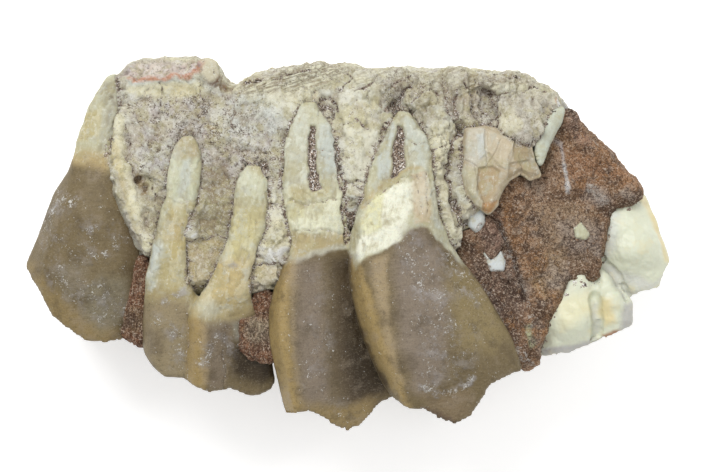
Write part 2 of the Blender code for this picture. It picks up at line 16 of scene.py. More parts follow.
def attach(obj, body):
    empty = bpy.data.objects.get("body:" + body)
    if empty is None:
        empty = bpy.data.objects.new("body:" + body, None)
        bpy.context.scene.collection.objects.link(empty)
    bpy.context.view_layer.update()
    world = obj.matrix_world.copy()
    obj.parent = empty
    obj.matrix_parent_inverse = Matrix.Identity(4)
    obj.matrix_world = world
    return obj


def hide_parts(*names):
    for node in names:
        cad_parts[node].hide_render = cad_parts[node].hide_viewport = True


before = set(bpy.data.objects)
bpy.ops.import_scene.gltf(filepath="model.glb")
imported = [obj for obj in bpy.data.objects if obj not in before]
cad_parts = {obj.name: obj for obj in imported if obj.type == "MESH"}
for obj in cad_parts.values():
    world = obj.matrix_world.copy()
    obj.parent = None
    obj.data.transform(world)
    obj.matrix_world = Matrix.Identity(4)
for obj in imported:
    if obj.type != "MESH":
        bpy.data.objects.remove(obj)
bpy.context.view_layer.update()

# The jawbone is the broken maxilla that holds the teeth: fossil bone, grey to cream, with brown grit in its
# seams. It is dressed from its solid, and its sockets close on the roots that are cemented in them.
MM = 0.001
NOISE_SEED = 7
FLUTTER_SIZE = 0.8
CHEEK_SLOPE = 0.25
BONE_CUBE = 0.265
BONE_SOFTENING = 3
BONE_RAGGED = 0.26
BONE_RELIEF = 0.95
SIDE_RELIEF = 0.57
SOCKET_REACH = 0.55
SOCKET_RIM = 0.12
SOCKET_OVERLAP = 0.1
LEAST_GAP = 0.05
SEAM_DEPTH = 0.30
LAYER_HEIGHT = 0.24
LAYER_ANGLE = 17.0
BONE_BASE = (0.68, 0.65, 0.50)
BONE_GREY = (0.53, 0.50, 0.43)
BONE_LILAC = (0.50, 0.43, 0.42)
BONE_CREAM = (0.84, 0.80, 0.57)
BONE_BLUE = (0.66, 0.69, 0.63)
BONE_TAN = (0.58, 0.48, 0.28)
BONE_YELLOW = (0.70, 0.60, 0.31)
BONE_UMBER = (0.33, 0.25, 0.16)
BONE_OLIVE = (0.50, 0.45, 0.24)
BONE_MINT = (0.80, 0.82, 0.75)
BONE_WHITE = (0.88, 0.88, 0.82)
# Painted highlight for the raised parts of the bone's relief.
BONE_CREST_HIGHLIGHT = (0.80, 0.79, 0.70)
LAYER_DARK = (0.36, 0.30, 0.20)
LAYER_PALE = (0.86, 0.84, 0.64)
DUST_DARK = (0.16, 0.11, 0.09)
DUST_WHITE = (0.92, 0.91, 0.89)
SALMON = (0.58, 0.28, 0.17)
STUB_GRIT = (0.80, 0.68, 0.62)
RUST = (0.24, 0.12, 0.06)
CHALK = (0.86, 0.87, 0.86)
PIT_BROWN = (0.12, 0.065, 0.03)


def step(start, end, value):
    """0 at start, 1 at end, and smooth between them, for a number or an array."""
    share = np.clip((value - start) / (end - start), 0.0, 1.0)
    return share * share * (3 - 2 * share)


def dense_copy(name, node, cube, rounds):
    """A fine-meshed copy of a CAD node, its facets softened and its cheek side meshed twice as fine."""
    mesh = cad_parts[node].data.copy()
    mesh.materials.clear()
    bm = bmesh.new()
    bm.from_mesh(mesh)
    bmesh.ops.remove_doubles(bm, verts=bm.verts[:], dist=0.001 * MM)
    bm.to_mesh(mesh)
    bm.free()
    piece = bpy.data.objects.new(name, mesh)
    bpy.context.scene.collection.objects.link(piece)
    remesh = piece.modifiers.new("Remesh", "REMESH")
    remesh.mode = "VOXEL"
    remesh.voxel_size = cube * MM
    soften = piece.modifiers.new("Soften", "SMOOTH")
    soften.iterations = rounds
    graph = bpy.context.evaluated_depsgraph_get()
    piece.data = bpy.data.meshes.new_from_object(piece.evaluated_get(graph))
    piece.modifiers.clear()
    bm = bmesh.new()
    bm.from_mesh(piece.data)
    edges = [edge for edge in bm.edges if any(face.normal.z > CHEEK_SLOPE for face in edge.link_faces)]
    bmesh.ops.subdivide_edges(bm, edges=edges, cuts=1, use_grid_fill=True)
    bmesh.ops.triangulate(bm, faces=bm.faces[:])
    bm.to_mesh(piece.data)
    bm.free()
    return piece


def line_distance(points, line):
    """How far each point is from this line of straight runs."""
    best = np.full(len(points), 1e9)
    for start, end in zip(line[:-1], line[1:]):
        run = np.subtract(end, start)
        share = np.clip((points - start) @ run / (run @ run), 0, 1)
        away = points - start - share[:, None] * run
        best = np.minimum(best, np.hypot(away[:, 0], away[:, 1]))
    return best


def depth_inside(points, outline):
    """How far each point is inside this outline, negative outside it."""
    closed = (*outline, outline[0])
    x, y = points[:, 0], points[:, 1]
    within = np.zeros(len(points), bool)
    for (x0, y0), (x1, y1) in zip(closed[:-1], closed[1:]):
        if y0 != y1:
            crosses = (y0 > y) != (y1 > y)
            within ^= crosses & (x < x0 + (y - y0) * (x1 - x0) / (y1 - y0))
    away = line_distance(points, closed)
    return np.where(within, away, -away)


class Skin:
    """The points of a piece's mesh, in millimetres, to be carved and painted before they go back."""

    def __init__(self, piece, ragged=0.16):
        self.piece = piece
        self.at = np.empty(len(piece.data.vertices) * 3)
        piece.data.vertices.foreach_get("co", self.at)
        self.at = self.at.reshape(-1, 3) / MM
        self.feel()
        flutter = np.array([noise.turbulence_vector(Vector(p), 2, False) for p in self.at / FLUTTER_SIZE])
        self.read = self.at[:, :2] + ragged * flutter[:, :2]
        self.tint = np.zeros((len(self.at), 3))

    def feel(self):
        """Puts the points into the mesh and reads its normals again."""
        self.piece.data.vertices.foreach_set("co", (self.at * MM).ravel())
        self.piece.data.update()
        self.normal = np.empty(len(self.at) * 3)
        self.piece.data.vertices.foreach_get("normal", self.normal)
        self.normal = self.normal.reshape(-1, 3)
        self.cheek = step(0.1, 0.5, self.normal[:, 2])

    def waves(self, size, seed=0, octaves=3, drawn=(1.0, 1.0, 1.0), angle=0.0):
        """Fractal noise from about -1 to 1, with waves of this size, drawn out along turned axes."""
        shift = np.array((seed * 7.3, seed * -3.1, seed * 1.7))
        along, across = math.cos(angle), math.sin(angle)
        turned = self.at @ np.array(((along, -across, 0.0), (across, along, 0.0), (0.0, 0.0, 1.0)))
        places = turned / np.multiply(size, drawn) + shift
        return np.array([noise.fractal(Vector(p), 0.9, 2.1, octaves) for p in places])

    def creases(self, size, seed=0, width=0.16, drawn=(1.0, 1.0, 1.0)):
        """1 along winding, broken creases this far apart, and 0 between them."""
        crease = step(width, 0.0, np.abs(self.waves(size, seed, 3, drawn)))
        return crease * step(-0.15, 0.2, self.waves(2.5 * size, seed + 1))

    def flakes(self, size, seed=0, drawn=(1.0, 1.0, 1.0)):
        """For angular flakes of this size: a random number for each, and how near its edge is, 0 to 1."""
        bend = np.array([noise.turbulence_vector(Vector(p), 2, False) for p in self.at / (0.7 * size)])
        places = self.at / np.multiply(size, drawn) + 0.28 * bend + seed * 3.7
        found = [noise.voronoi(Vector(p)) for p in places]
        pick = np.array([noise.cell(hit[1][0] * 97.0) for hit in found])
        edge = np.array([hit[0][1] - hit[0][0] for hit in found])
        return pick - np.floor(pick), step(0.14, 0.0, edge)

    def gap_to(self, nodes):
        """How far each point is from these CAD nodes, and the nearest point on them."""
        others = bmesh.new()
        for node in nodes:
            others.from_mesh(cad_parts[node].data)
        tree = BVHTree.FromBMesh(others)
        others.free()
        found = [tree.find_nearest(Vector(p)) for p in self.at * MM]
        return np.array([hit[3] for hit in found]) / MM, np.array([hit[0] for hit in found]) / MM

    def close_on(self, nodes, reach):
        """Draws the points within reach of these nodes just past their surface, and tells which."""
        gap, nearest = self.gap_to(nodes)
        drawn = step(reach, reach - SOCKET_RIM, gap)
        share = drawn * (1 + SOCKET_OVERLAP / np.maximum(gap, LEAST_GAP))
        self.at += (nearest - self.at) * share[:, None]
        self.feel()
        return drawn

    def line(self, line, width):
        """1 on this line and 0 from its width away."""
        return step(width, 0.25 * width, line_distance(self.read, line)) * self.cheek

    def patch(self, outline, softness=0.3):
        """1 inside this outline and 0 outside it, with a soft edge."""
        return step(-softness, softness, depth_inside(self.read, outline)) * self.cheek

    def push(self, height):
        """Moves the points out along their normals."""
        self.at += self.normal * np.asarray(height)[:, None]

    def paint(self, colour, share):
        """Lays this share of a colour over what is there."""
        self.tint += (np.array(colour) - self.tint) * np.asarray(share)[:, None]

    def keep(self, **fields):
        """Stores the points, the tint and these numbers in the mesh."""
        self.feel()
        mesh = self.piece.data
        tint = mesh.attributes.new("tint", "FLOAT_COLOR", "POINT")
        tint.data.foreach_set("color", np.c_[self.tint, np.ones(len(self.at))].ravel())
        for name, values in fields.items():
            mesh.attributes.new(name, "FLOAT", "POINT").data.foreach_set("value", np.asarray(values, float))
        mesh.shade_smooth()


class Value:
    """A socket of a material's nodes, with arithmetic: each sign adds the Math node that does it."""

    def __init__(self, finish, socket):
        self.finish = finish
        self.socket = socket

    def math(self, operation, *values):
        return self.finish.add("Math", {"operation": operation}, dict(enumerate(values)))

    def __add__(self, other):
        return self.math("ADD", self, other)

    def __sub__(self, other):
        return self.math("SUBTRACT", self, other)

    def __rsub__(self, other):
        return self.math("SUBTRACT", other, self)

    def __mul__(self, other):
        return self.math("MULTIPLY", self, other)

    __radd__ = __add__
    __rmul__ = __mul__

    def ramp(self, start, end):
        """0 at start, 1 at end, and smooth between them."""
        values = {"Value": self, "From Min": start, "From Max": end}
        return self.finish.add("MapRange", {"interpolation_type": "SMOOTHSTEP"}, values)


class Finish:
    """A material in the making: its shader, and one method that adds any node to it."""

    def __init__(self, name, **settings):
        self.material = bpy.data.materials.new(name)
        self.material.use_nodes = True
        self.tree = self.material.node_tree
        self.shader = self.tree.nodes["Principled BSDF"]
        for socket, value in settings.items():
            self.shader.inputs[socket.replace("_", " ")].default_value = value
        self.place = self.add("TexCoord", output="Object")

    def add(self, kind, settings=None, values=None, output=0):
        node = self.tree.nodes.new("ShaderNode" + kind)
        for key, setting in (settings or {}).items():
            setattr(node, key, setting)
        for key, value in (values or {}).items():
            self.join(value, node.inputs[key])
        return Value(self, node.outputs[output])

    def join(self, value, socket):
        """Links a socket to another, or sets it to a number or a colour."""
        if isinstance(value, Value):
            self.tree.links.new(value.socket, socket)
        elif socket.type == "RGBA":
            socket.default_value = (*value, 1.0)
        else:
            socket.default_value = value

    def moved(self, seed):
        """The place on the piece, shifted so that two patterns of the same size differ."""
        shift = (seed * 0.0137, seed * -0.0071, seed * 0.0093)
        return self.add("VectorMath", {"operation": "ADD"}, {0: self.place, 1: shift})

    def noise(self, size, seed=0, detail=2.0, roughness=0.5, wisp=0.0):
        """Soft noise from 0 to 1 with spots of this size in millimetres, twisted into wisps."""
        values = {"Vector": self.moved(seed), "Scale": 1 / (size * MM), "Detail": detail}
        return self.add("TexNoise", {}, {**values, "Roughness": roughness, "Distortion": wisp})

    def streaks(self, size, stretch, angle, seed=0, detail=3.0, roughness=0.6):
        """Noise drawn out this many times its size, in a direction turned this many degrees from +X."""
        turn = {"Vector": self.moved(seed), "Rotation": (0.0, 0.0, -math.radians(angle))}
        place = self.add("Mapping", {}, turn)
        place = self.add("VectorMath", {"operation": "MULTIPLY"}, {0: place, 1: (1 / stretch, 1.0, 1.0)})
        values = {"Vector": place, "Scale": 1 / (size * MM), "Detail": detail, "Roughness": roughness}
        return self.add("TexNoise", {}, values)

    def grains(self, size, seed=0):
        """A random number for every grain of this size in millimetres."""
        cells = self.add("TexVoronoi", {}, {"Vector": self.moved(seed), "Scale": 1 / (size * MM)}, "Color")
        return self.add("SeparateColor", {}, {0: cells})

    def field(self, name):
        """A number that the mesh carries."""
        return self.add("Attribute", {"attribute_name": name}, output="Fac")

    def start(self):
        """Takes the colour that the mesh carries as the finish's own."""
        self.colour = self.add("Attribute", {"attribute_name": "tint"}, output="Color")

    def mix(self, first, second, share):
        """The first colour with this share of the second one in it."""
        return self.add("Mix", {"data_type": "RGBA"}, {0: share, 6: first, 7: second}, 2)

    def lay(self, colour, share):
        """Lays this share of a colour over the finish's own."""
        self.colour = self.mix(self.colour, colour, share)

    def done(self, roughness, height, bump):
        """Feeds the shader, with the height as a bump in millimetres."""
        values = {"Strength": bump, "Distance": MM, "Height": height}
        self.join(self.colour, self.shader.inputs["Base Color"])
        self.join(roughness, self.shader.inputs["Roughness"])
        self.join(self.add("Bump", {}, values), self.shader.inputs["Normal"])
        return self.material


GRIT_DARK = (0.070, 0.050, 0.038)
GRIT_BROWN = (0.25, 0.18, 0.13)
GRIT_PINK = (0.50, 0.43, 0.36)
SPARKLE = (0.84, 0.81, 0.78)


def seam_grit(finish, seam, seed):
    """Lays dark, brown, pink and white grains of sandstone where the seam is."""
    grain = finish.grains(0.085, seed) * 0.75 + finish.noise(0.3, seed, 4.0, 0.7) * 0.5 - 0.12
    grit = finish.mix(GRIT_DARK, GRIT_BROWN, grain.ramp(0.35, 0.50))
    grit = finish.mix(grit, GRIT_PINK, grain.ramp(0.62, 0.72))
    grit = finish.mix(grit, SPARKLE, grain.ramp(0.78, 0.84))
    ragged = seam + (finish.noise(0.40, seed + 1, 6.0, 0.8) - 0.5) * 2.2 + (grain - 0.5) * 0.25
    finish.lay(grit, ragged.ramp(0.36, 0.66))


def fossil_bone():
    """Weathered bone: a mosaic of tones, dark in its hollows, strewn with fine dark and white grains."""
    finish = Finish("fossil bone", Specular_IOR_Level=0.3)
    rough = finish.field("speckle")
    finish.start()
    finish.lay(BONE_LILAC, finish.noise(0.8, 1, 5.0, 0.65).ramp(0.50, 0.60) * rough * 0.45)
    finish.lay(BONE_MINT, finish.noise(0.5, 2, 5.0, 0.65).ramp(0.54, 0.62) * 0.3)
    finish.lay(BONE_OLIVE, finish.noise(1.1, 3, 5.0, 0.65).ramp(0.50, 0.60) * 0.55)
    layers = finish.streaks(0.20, 9.0, LAYER_ANGLE, 11).ramp(0.42, 0.60)
    layered = finish.mix(LAYER_DARK, LAYER_PALE, layers)
    finish.lay(layered, finish.field("layered") * 0.8)
    rugged = finish.noise(0.32, 8, 6.0, 0.8)
    fine = finish.noise(0.14, 15, 4.0, 0.75)
    grain = finish.grains(0.08, 6) - 0.5
    cluster = finish.noise(1.3, 4, 6.0, 0.75).ramp(0.44, 0.62) * rough
    low = (rugged + grain * 0.12 - cluster * 0.09).ramp(0.46, 0.34)
    finish.lay(BONE_UMBER, low * (0.14 + rough * 0.40))
    deep = (rugged + grain * 0.22 - cluster * 0.13).ramp(0.40, 0.31)
    finish.lay(GRIT_DARK, deep * (0.20 + rough * 0.62))
    high = (rugged + grain * 0.15).ramp(0.53, 0.65)
    finish.lay(BONE_WHITE, high * 0.45)
    dust = fine + grain * 0.14
    finish.lay(DUST_DARK, (dust - cluster * 0.05).ramp(0.43, 0.34) * (0.04 + cluster * 0.75))
    finish.lay(DUST_WHITE, (dust + cluster * 0.04).ramp(0.58, 0.65) * (0.12 + cluster * 0.65))
    seam_grit(finish, finish.field("seam"), 7)
    height = rugged * 0.35 + fine * 0.12 + layers * finish.field("layered") * 0.12
    return finish.done(0.6 + finish.noise(0.5, 9) * 0.35, height, 0.7)


ROOT_NODES = ("premolar", "first_molar", "second_molar", "third_molar")
BIT_NODES = ("tooth_fragment", "enamel_plate", "enamel_chip_1", "enamel_chip_2", "enamel_chip_3")

noise.seed_set(NOISE_SEED)
jawbone = dense_copy("jawbone_fossil", "jawbone", BONE_CUBE, BONE_SOFTENING)
bone = Skin(jawbone, BONE_RAGGED)
SOCKET_NEIGHBOURS = ROOT_NODES + ("tooth_fragment", "enamel_plate", "enamel_chip_1")
snap = bone.close_on(SOCKET_NEIGHBOURS, SOCKET_REACH)
free = 1 - snap
side = 1 - bone.cheek
upright = (0.55, 3.0, 1.0)
veined = step(-6.0, -2.0, bone.at[:, 0])
creases = np.maximum(bone.creases(1.5, 20), bone.creases(1.2, 22, 0.2, upright) * veined)
flake, flake_edge = bone.flakes(1.5, 1, (0.8, 1.3, 1.0))
chip, chip_edge = bone.flakes(0.75, 2)
flake_edge = flake_edge * step(-0.2, 0.3, bone.waves(2.2, 17))

STUB_CORNER = ((-11.5, 14.1), (-10.5, 14), (-10.1, 12.5), (-11, 12.3), (-11.5, 12.9))

# Patches of the cheek side: colour, softness, share, speckle and outline.
BONE_PATCHES = (
    (BONE_GREY, 0.8, 0.9, 1.0, ((-17.8, 11.3), (-13.1, 10.9), (-8.5, 11.5), (-6.3, 10.2), (-5.1, 8.2),
        (-5.1, 4.4), (-6.8, 4.4), (-8.5, 5.7), (-9.4, 4), (-11.2, 6.3), (-12.3, 7.8), (-13.4, 7.5),
        (-14, 5.2), (-16.2, 4.8), (-17.4, 7.1), (-17.8, 9.4))),
    (BONE_LILAC, 0.5, 0.6, 1.0, ((-15.4, 10.9), (-11.5, 11.1), (-11.2, 9), (-13.4, 8.2), (-14, 6.3),
        (-15.7, 6.3), (-16.2, 9))),
    (BONE_LILAC, 0.5, 0.5, 1.0, ((-11.1, 7.1), (-9.6, 7.8), (-6.8, 7.1), (-6.3, 5.9), (-8.5, 5.7),
        (-9.4, 4.6), (-10.9, 5.4))),
    (BONE_BLUE, 0.5, 0.7, 0.5, ((-9.1, 11.3), (-6.8, 11.5), (-5.1, 10.3), (-4.9, 8.6), (-6.8, 7.8),
        (-8.6, 9))),
    (BONE_BLUE, 0.4, 0.6, 0.6, ((-15.4, 7.8), (-14, 7.7), (-14.3, 5.4), (-15.5, 4.9), (-15.7, 6.3))),
    (STUB_GRIT, 0.12, 1.0, 0.45, ((-17.6, 13.1), (-16.8, 13.8), (-15.4, 14.2), (-13.7, 14.2),
        (-12.3, 14), (-11.5, 13.5), (-11.6, 13), (-13.1, 12.7), (-14.6, 12.6), (-16.2, 12.5),
        (-17.2, 12.5))),
    (BONE_BLUE, 0.15, 0.9, 0.1, ((-17.4, 12.3), (-14.6, 12.5), (-11.8, 12.7), (-11.7, 12.3),
        (-14.6, 12.1), (-17.1, 11.9))),
    (BONE_CREAM, 0.25, 1.0, 0.1, ((-17.4, 11.9), (-14.6, 12.2), (-11.7, 12.5), (-11.2, 11.5),
        (-12.2, 11.1), (-14.2, 11.2), (-16.5, 11.3))),
    (BONE_YELLOW, 0.3, 0.6, 0.1, ((-14.3, 12), (-12.2, 12.2), (-11.8, 11.4), (-13.8, 11.2))),
    ((0.68, 0.62, 0.44), 0.12, 1.0, 0.0, STUB_CORNER),
    (RUST, 0.15, 0.8, 0.3, ((-11.2, 12.3), (-10.1, 12.5), (-9.2, 12.3), (-9.1, 11.8), (-10.5, 12))),
    (BONE_CREAM, 0.2, 1.0, 0.1, ((-18.5, 9.5), (-17.8, 10), (-17.3, 9.2), (-17.3, 7.7), (-16.9, 6.3),
        (-16.6, 4.8), (-16.5, 3.2), (-15.8, 1.3), (-15.2, -0.3), (-15.5, -0.8), (-16.5, 0.8), (-17, 2.6),
        (-17.6, 4.8), (-18.6, 6.7), (-19.1, 7.7))),
    (BONE_YELLOW, 0.25, 0.8, 0.1, ((-18.5, 9.5), (-18.2, 9.5), (-17.9, 7.8), (-17.4, 5.5), (-16.8, 2.6),
        (-16.3, 0.2), (-16.9, 2.1), (-17.7, 4.6), (-18.8, 6.7), (-19.1, 7.7))),
    ((0.62, 0.57, 0.44), 0.4, 0.7, 0.2, ((-17.2, 9.2), (-16, 9), (-16.2, 5.9), (-16.5, 4.8), (-16.9, 6.3))),
    ((0.31, 0.26, 0.14), 0.4, 0.9, 0.35, ((-11.2, 5.9), (-9.4, 5.9), (-8.8, 4), (-9.2, 1.3),
        (-10.5, 0.2), (-11.8, 0.5), (-12.2, 2.1), (-11.2, 3.6))),
    ((0.50, 0.40, 0.19), 0.3, 0.9, 0.2, ((-12.3, 0.2), (-9.8, 0.3), (-9.5, -0.6), (-10.5, -2.5),
        (-11.8, -3.5), (-12.5, -2.5))),
    (BONE_UMBER, 0.4, 0.6, 0.5, ((-11.8, -0.6), (-10.3, -0.3), (-10.6, -1.5), (-11.5, -2.2))),
    (CHALK, 0.1, 0.8, 0.0, ((-12.5, 1.5), (-12, 1.5), (-11.8, 0.8), (-12.2, 0.3), (-12.6, 0.6))),
    (CHALK, 0.15, 0.5, 0.2, ((-6, 4.8), (-5.3, 4.9), (-5.1, 3.6), (-5.7, 3.2))),
    (BONE_CREAM, 0.35, 0.95, 0.0, ((-0.8, 12.2), (0.9, 12.6), (2.2, 11.8), (2.2, 10.3), (1.2, 9.2),
        (0, 7.8), (-0.6, 8.6), (-0.8, 10.3))),
    ((0.82, 0.81, 0.68), 0.35, 1.0, 0.0, ((-0.7, 7.8), (0.2, 8), (2, 8.6), (2.1, 6.3), (1.7, 5.1),
        (1.1, 3.5), (-0.2, 4), (-0.5, 5.9))),
    (BONE_CREAM, 0.35, 0.7, 0.2, ((-5, 11.7), (-3.8, 12.2), (-1.5, 12.5), (-0.9, 11.5), (-2.2, 11.1),
        (-3.8, 10.6), (-4.6, 10))),
    (BONE_BLUE, 0.2, 0.9, 0.4, ((-0.4, 3.8), (0.9, 3.2), (0.6, 1.3), (0.2, -0.1), (-0.3, 0.5))),
    (BONE_UMBER, 0.25, 0.5, 0.6, ((0.2, 10.8), (1.2, 10.5), (1.2, 9.5), (0.3, 9.7))),
    ((0.45, 0.42, 0.33), 0.5, 0.7, 0.7, ((2.5, 13.1), (6.2, 12.9), (6.9, 11.3), (5.8, 9.4), (4.2, 10.6),
        (2.9, 10), (2.2, 11.3))),
    (BONE_YELLOW, 0.4, 0.5, 0.5, ((4.8, 12.2), (6.6, 11.5), (6.5, 9.7), (5.5, 10))),
    (CHALK, 0.15, 0.7, 0.1, ((-6.8, -0.4), (-5.4, -0.2), (-4.5, -0.6), (-4.6, -1.5), (-5.7, -1.7),
        (-6.6, -1.4))),
    (BONE_CREAM, 0.3, 0.8, 0.3, ((-7.5, 2.1), (-5.2, 2.8), (-4.6, 1.7), (-4.5, -0.3), (-6.8, -0.4),
        (-7.5, 0.2))),
    (BONE_TAN, 0.3, 0.7, 0.5, ((-7.7, -1.5), (-5.8, -1.8), (-5.4, -2.3), (-6.2, -3.7), (-7.5, -4.2),
        (-7.9, -2.9))),
    ((0.62, 0.58, 0.47), 0.25, 0.9, 0.35, ((11.4, 11.2), (15.4, 11.4), (15.5, 9.4), (14.2, 7.7),
        (12.7, 7.8), (11.4, 8.5))),
    ((0.42, 0.37, 0.25), 0.5, 0.75, 0.8, ((6.9, 12.6), (10.8, 12.8), (11.1, 9.5), (10.3, 8.8),
        (8.6, 9.4), (7.4, 9.7))),
    ((0.80, 0.80, 0.70), 0.3, 0.8, 0.05, ((0.2, 12.2), (1.7, 12), (1.4, 10.6), (0.2, 10.9))),
    ((0.82, 0.80, 0.62), 0.3, 0.8, 0.0, ((-0.2, 8.6), (1.8, 8.8), (1.8, 6.5), (1.1, 4.6), (0, 4.5),
        (-0.4, 6.3))),
    ((0.70, 0.71, 0.62), 0.2, 0.8, 0.2, ((7.8, 6.5), (8.8, 6.6), (9.1, 5.2), (8.9, 2.9), (8.3, 2.9),
        (8, 4.8))),
    (BONE_CREAM, 0.25, 0.7, 0.2, ((11.5, 9.5), (12.6, 10), (13.1, 8.8), (12.5, 8), (11.5, 8.6))),
    (BONE_UMBER, 0.4, 0.6, 0.9, ((9.1, 11.8), (10.5, 12.2), (11.2, 11.1), (11.1, 9.5), (10.3, 8.8),
        (9.2, 9.4))),
    (BONE_UMBER, 0.4, 0.6, 0.8, ((6.9, 13.4), (11.5, 13.2), (14.6, 12.8), (14.3, 12), (11.5, 12.2),
        (8.5, 12.3))),
    (BONE_YELLOW, 0.4, 0.5, 0.6, ((8.6, 12.2), (10, 12.3), (10.3, 11.2), (9.1, 10.9))),
    (BONE_CREAM, 0.3, 0.8, 0.25, ((6.3, 9.1), (7.7, 9.1), (7.5, 5.9), (7.7, 3.6), (7.2, 2.3), (6.6, 3.5),
        (6.2, 6.3))),
    (BONE_CREAM, 0.3, 0.7, 0.3, ((7.4, 2.5), (8.3, 1.5), (8.9, -0.3), (8.2, -0.3), (7.2, 1.2))),
    (CHALK, 0.12, 0.8, 0.0, ((15.9, 11.4), (16.6, 11.2), (17, 10.4), (16.3, 10.3), (15.8, 10.8))),
    ((0.84, 0.82, 0.66), 0.3, 0.9, 0.05, ((-7.5, 3.4), (-6, 4), (-4.8, 3.5), (-4.5, 2), (-6.2, 1.5),
        (-7.5, 2.2))),
    ((0.80, 0.80, 0.70), 0.3, 0.8, 0.1, ((-0.9, 12.2), (0, 12.5), (0.2, 10.6), (-0.6, 10))),
    ((0.78, 0.76, 0.60), 0.3, 0.7, 0.2, ((-6.3, 11.2), (-4.8, 11.7), (-4.2, 11.1), (-4.6, 9.7),
        (-5.8, 10))),
    ((0.30, 0.23, 0.17), 0.35, 0.7, 1.0, ((-13.5, 11.1), (-10.5, 11.4), (-10.2, 10), (-11.5, 9.2),
        (-13.1, 9.7))),
    ((0.33, 0.27, 0.22), 0.35, 0.6, 1.0, ((-11.8, 8.8), (-10.5, 9.1), (-9.8, 7.8), (-10.6, 7.1),
        (-11.7, 7.7))),
    ((0.36, 0.28, 0.25), 0.35, 0.6, 1.0, ((-9.8, 5.1), (-8.5, 5.5), (-7.7, 4.8), (-8.6, 3.8), (-9.5, 3.5))),
    ((0.46, 0.40, 0.22), 0.3, 0.6, 0.5, ((-16.2, 3.5), (-14.6, 3.5), (-14.8, 1.2), (-15.4, 0.2),
        (-16, 1.5))),
    ((0.56, 0.50, 0.30), 0.3, 0.6, 0.2, ((-9.1, 12.2), (-6.8, 12.6), (-4.6, 13.1), (-4.9, 12.5),
        (-6.8, 11.8), (-8.5, 11.5))),
    ((0.50, 0.50, 0.46), 0.3, 0.6, 0.3, ((-6.2, 12.5), (-4.5, 12.8), (-4.2, 12.2), (-5.7, 11.7))),
    ((0.72, 0.74, 0.66), 0.25, 0.8, 0.1, ((-2.6, 12), (-1.5, 12.2), (-1.4, 11.4), (-2.3, 11.1))),
    ((0.44, 0.40, 0.24), 0.35, 0.7, 0.3, ((5.1, 11.7), (6.5, 11.2), (6.3, 10), (5.4, 10))),
    ((0.38, 0.33, 0.22), 0.4, 0.6, 0.9, ((2.8, 12.9), (5.4, 12.9), (5.7, 11.8), (4.2, 11.1), (2.9, 11.4))),
)

even = np.zeros(len(bone.at))
for colour, softness, share, specks, outline in BONE_PATCHES:
    if specks < 0.25:
        even = np.maximum(even, bone.patch(outline, 0.3) * share)
small_height = 0.16 * bone.waves(1.0, 2) + 0.08 * bone.waves(0.45, 3)
small_height += 0.18 * (chip - 0.5) - 0.18 * flake_edge - 0.06 * chip_edge - 0.24 * creases
rough_height = 0.30 * bone.waves(2.4, 1) + 0.34 * (flake - 0.5) + small_height * (1 - 0.65 * even)
rough_height += 0.16 * veined * bone.waves(0.9, 12, 3, upright)
bone.push(rough_height * free * (BONE_RELIEF + (SIDE_RELIEF - BONE_RELIEF) * side))
gap = bone.gap_to(SOCKET_NEIGHBOURS)[0]

# Ledges that stand above or below the bone around them: height, softness and outline.
BONE_LEDGES = (
    (0.30, 0.25, ((-18.7, 9.4), (-18, 10), (-17.3, 9.2), (-17.2, 7.8), (-17.5, 6.5), (-18.2, 6.5),
        (-18.8, 7.7))),
    (0.22, 0.20, ((-17.4, 6.1), (-16.7, 5.5), (-16.3, 3.2), (-15.6, 1.1), (-14.9, -0.6), (-15.4, -1.4),
        (-16.2, 0.2), (-16.9, 2.6))),
    (0.32, 0.10, STUB_CORNER),
    (-0.22, 0.15, ((-17.5, 13.1), (-16.7, 13.8), (-15.2, 14.1), (-13.4, 14), (-12, 13.5), (-11.8, 13.2),
        (-13.1, 12.8), (-14.6, 12.7), (-16.5, 12.5), (-17.4, 12.6))),
    (-0.30, 0.10, ((-12.5, 0), (-11.2, 0.2), (-9.1, 0.5), (-9.5, -1.2), (-10.6, -3.2), (-11.8, -3.8),
        (-12.7, -2.8))),
    (0.25, 0.12, ((-12.6, 1.8), (-11.8, 1.5), (-10.9, 0.5), (-11.7, 0.1), (-12.5, 0.3))),
    (-0.28, 0.12, ((-7.6, -1.8), (-6, -1.6), (-4.5, -2), (-4.8, -3.7), (-6.3, -3.8), (-7.7, -4.3),
        (-8, -3.2))),
    (0.22, 0.12, ((-6.8, -0.3), (-5.2, -0.1), (-4.5, -0.6), (-4.6, -1.5), (-5.8, -1.8), (-6.7, -1.4))),
    (0.18, 0.15, ((-0.7, 12), (0.9, 12.5), (2.2, 11.7), (2, 10.2), (0.9, 9.1), (-0.4, 8.8), (-0.8, 10.3))),
    (0.26, 0.15, ((11.4, 11.1), (12.9, 11.5), (15.2, 11.5), (15.8, 10.6), (15.4, 9.1), (14.2, 7.6),
        (12.7, 7.7), (11.5, 8.3))),
    (-0.35, 0.15, ((9.2, 11.7), (10.5, 12.2), (11.3, 11.1), (11.1, 9.4), (10.2, 8.9), (9.4, 10))),
    (0.20, 0.15, ((4.8, 12), (6.5, 11.5), (6.6, 10.2), (5.7, 9.5), (4.8, 10.6))),
    (-0.22, 0.20, ((-11.1, 7.1), (-9.5, 7.8), (-6.8, 7.1), (-6.3, 6), (-8.5, 5.7), (-9.4, 4.6),
        (-10.9, 5.4))),
    (0.18, 0.20, ((-9.1, 11.2), (-6.8, 11.5), (-5.1, 10.3), (-4.9, 8.6), (-6.8, 7.8), (-8.6, 9))),
)
for height, softness, outline in BONE_LEDGES:
    bone.push(height * bone.patch(outline, softness))

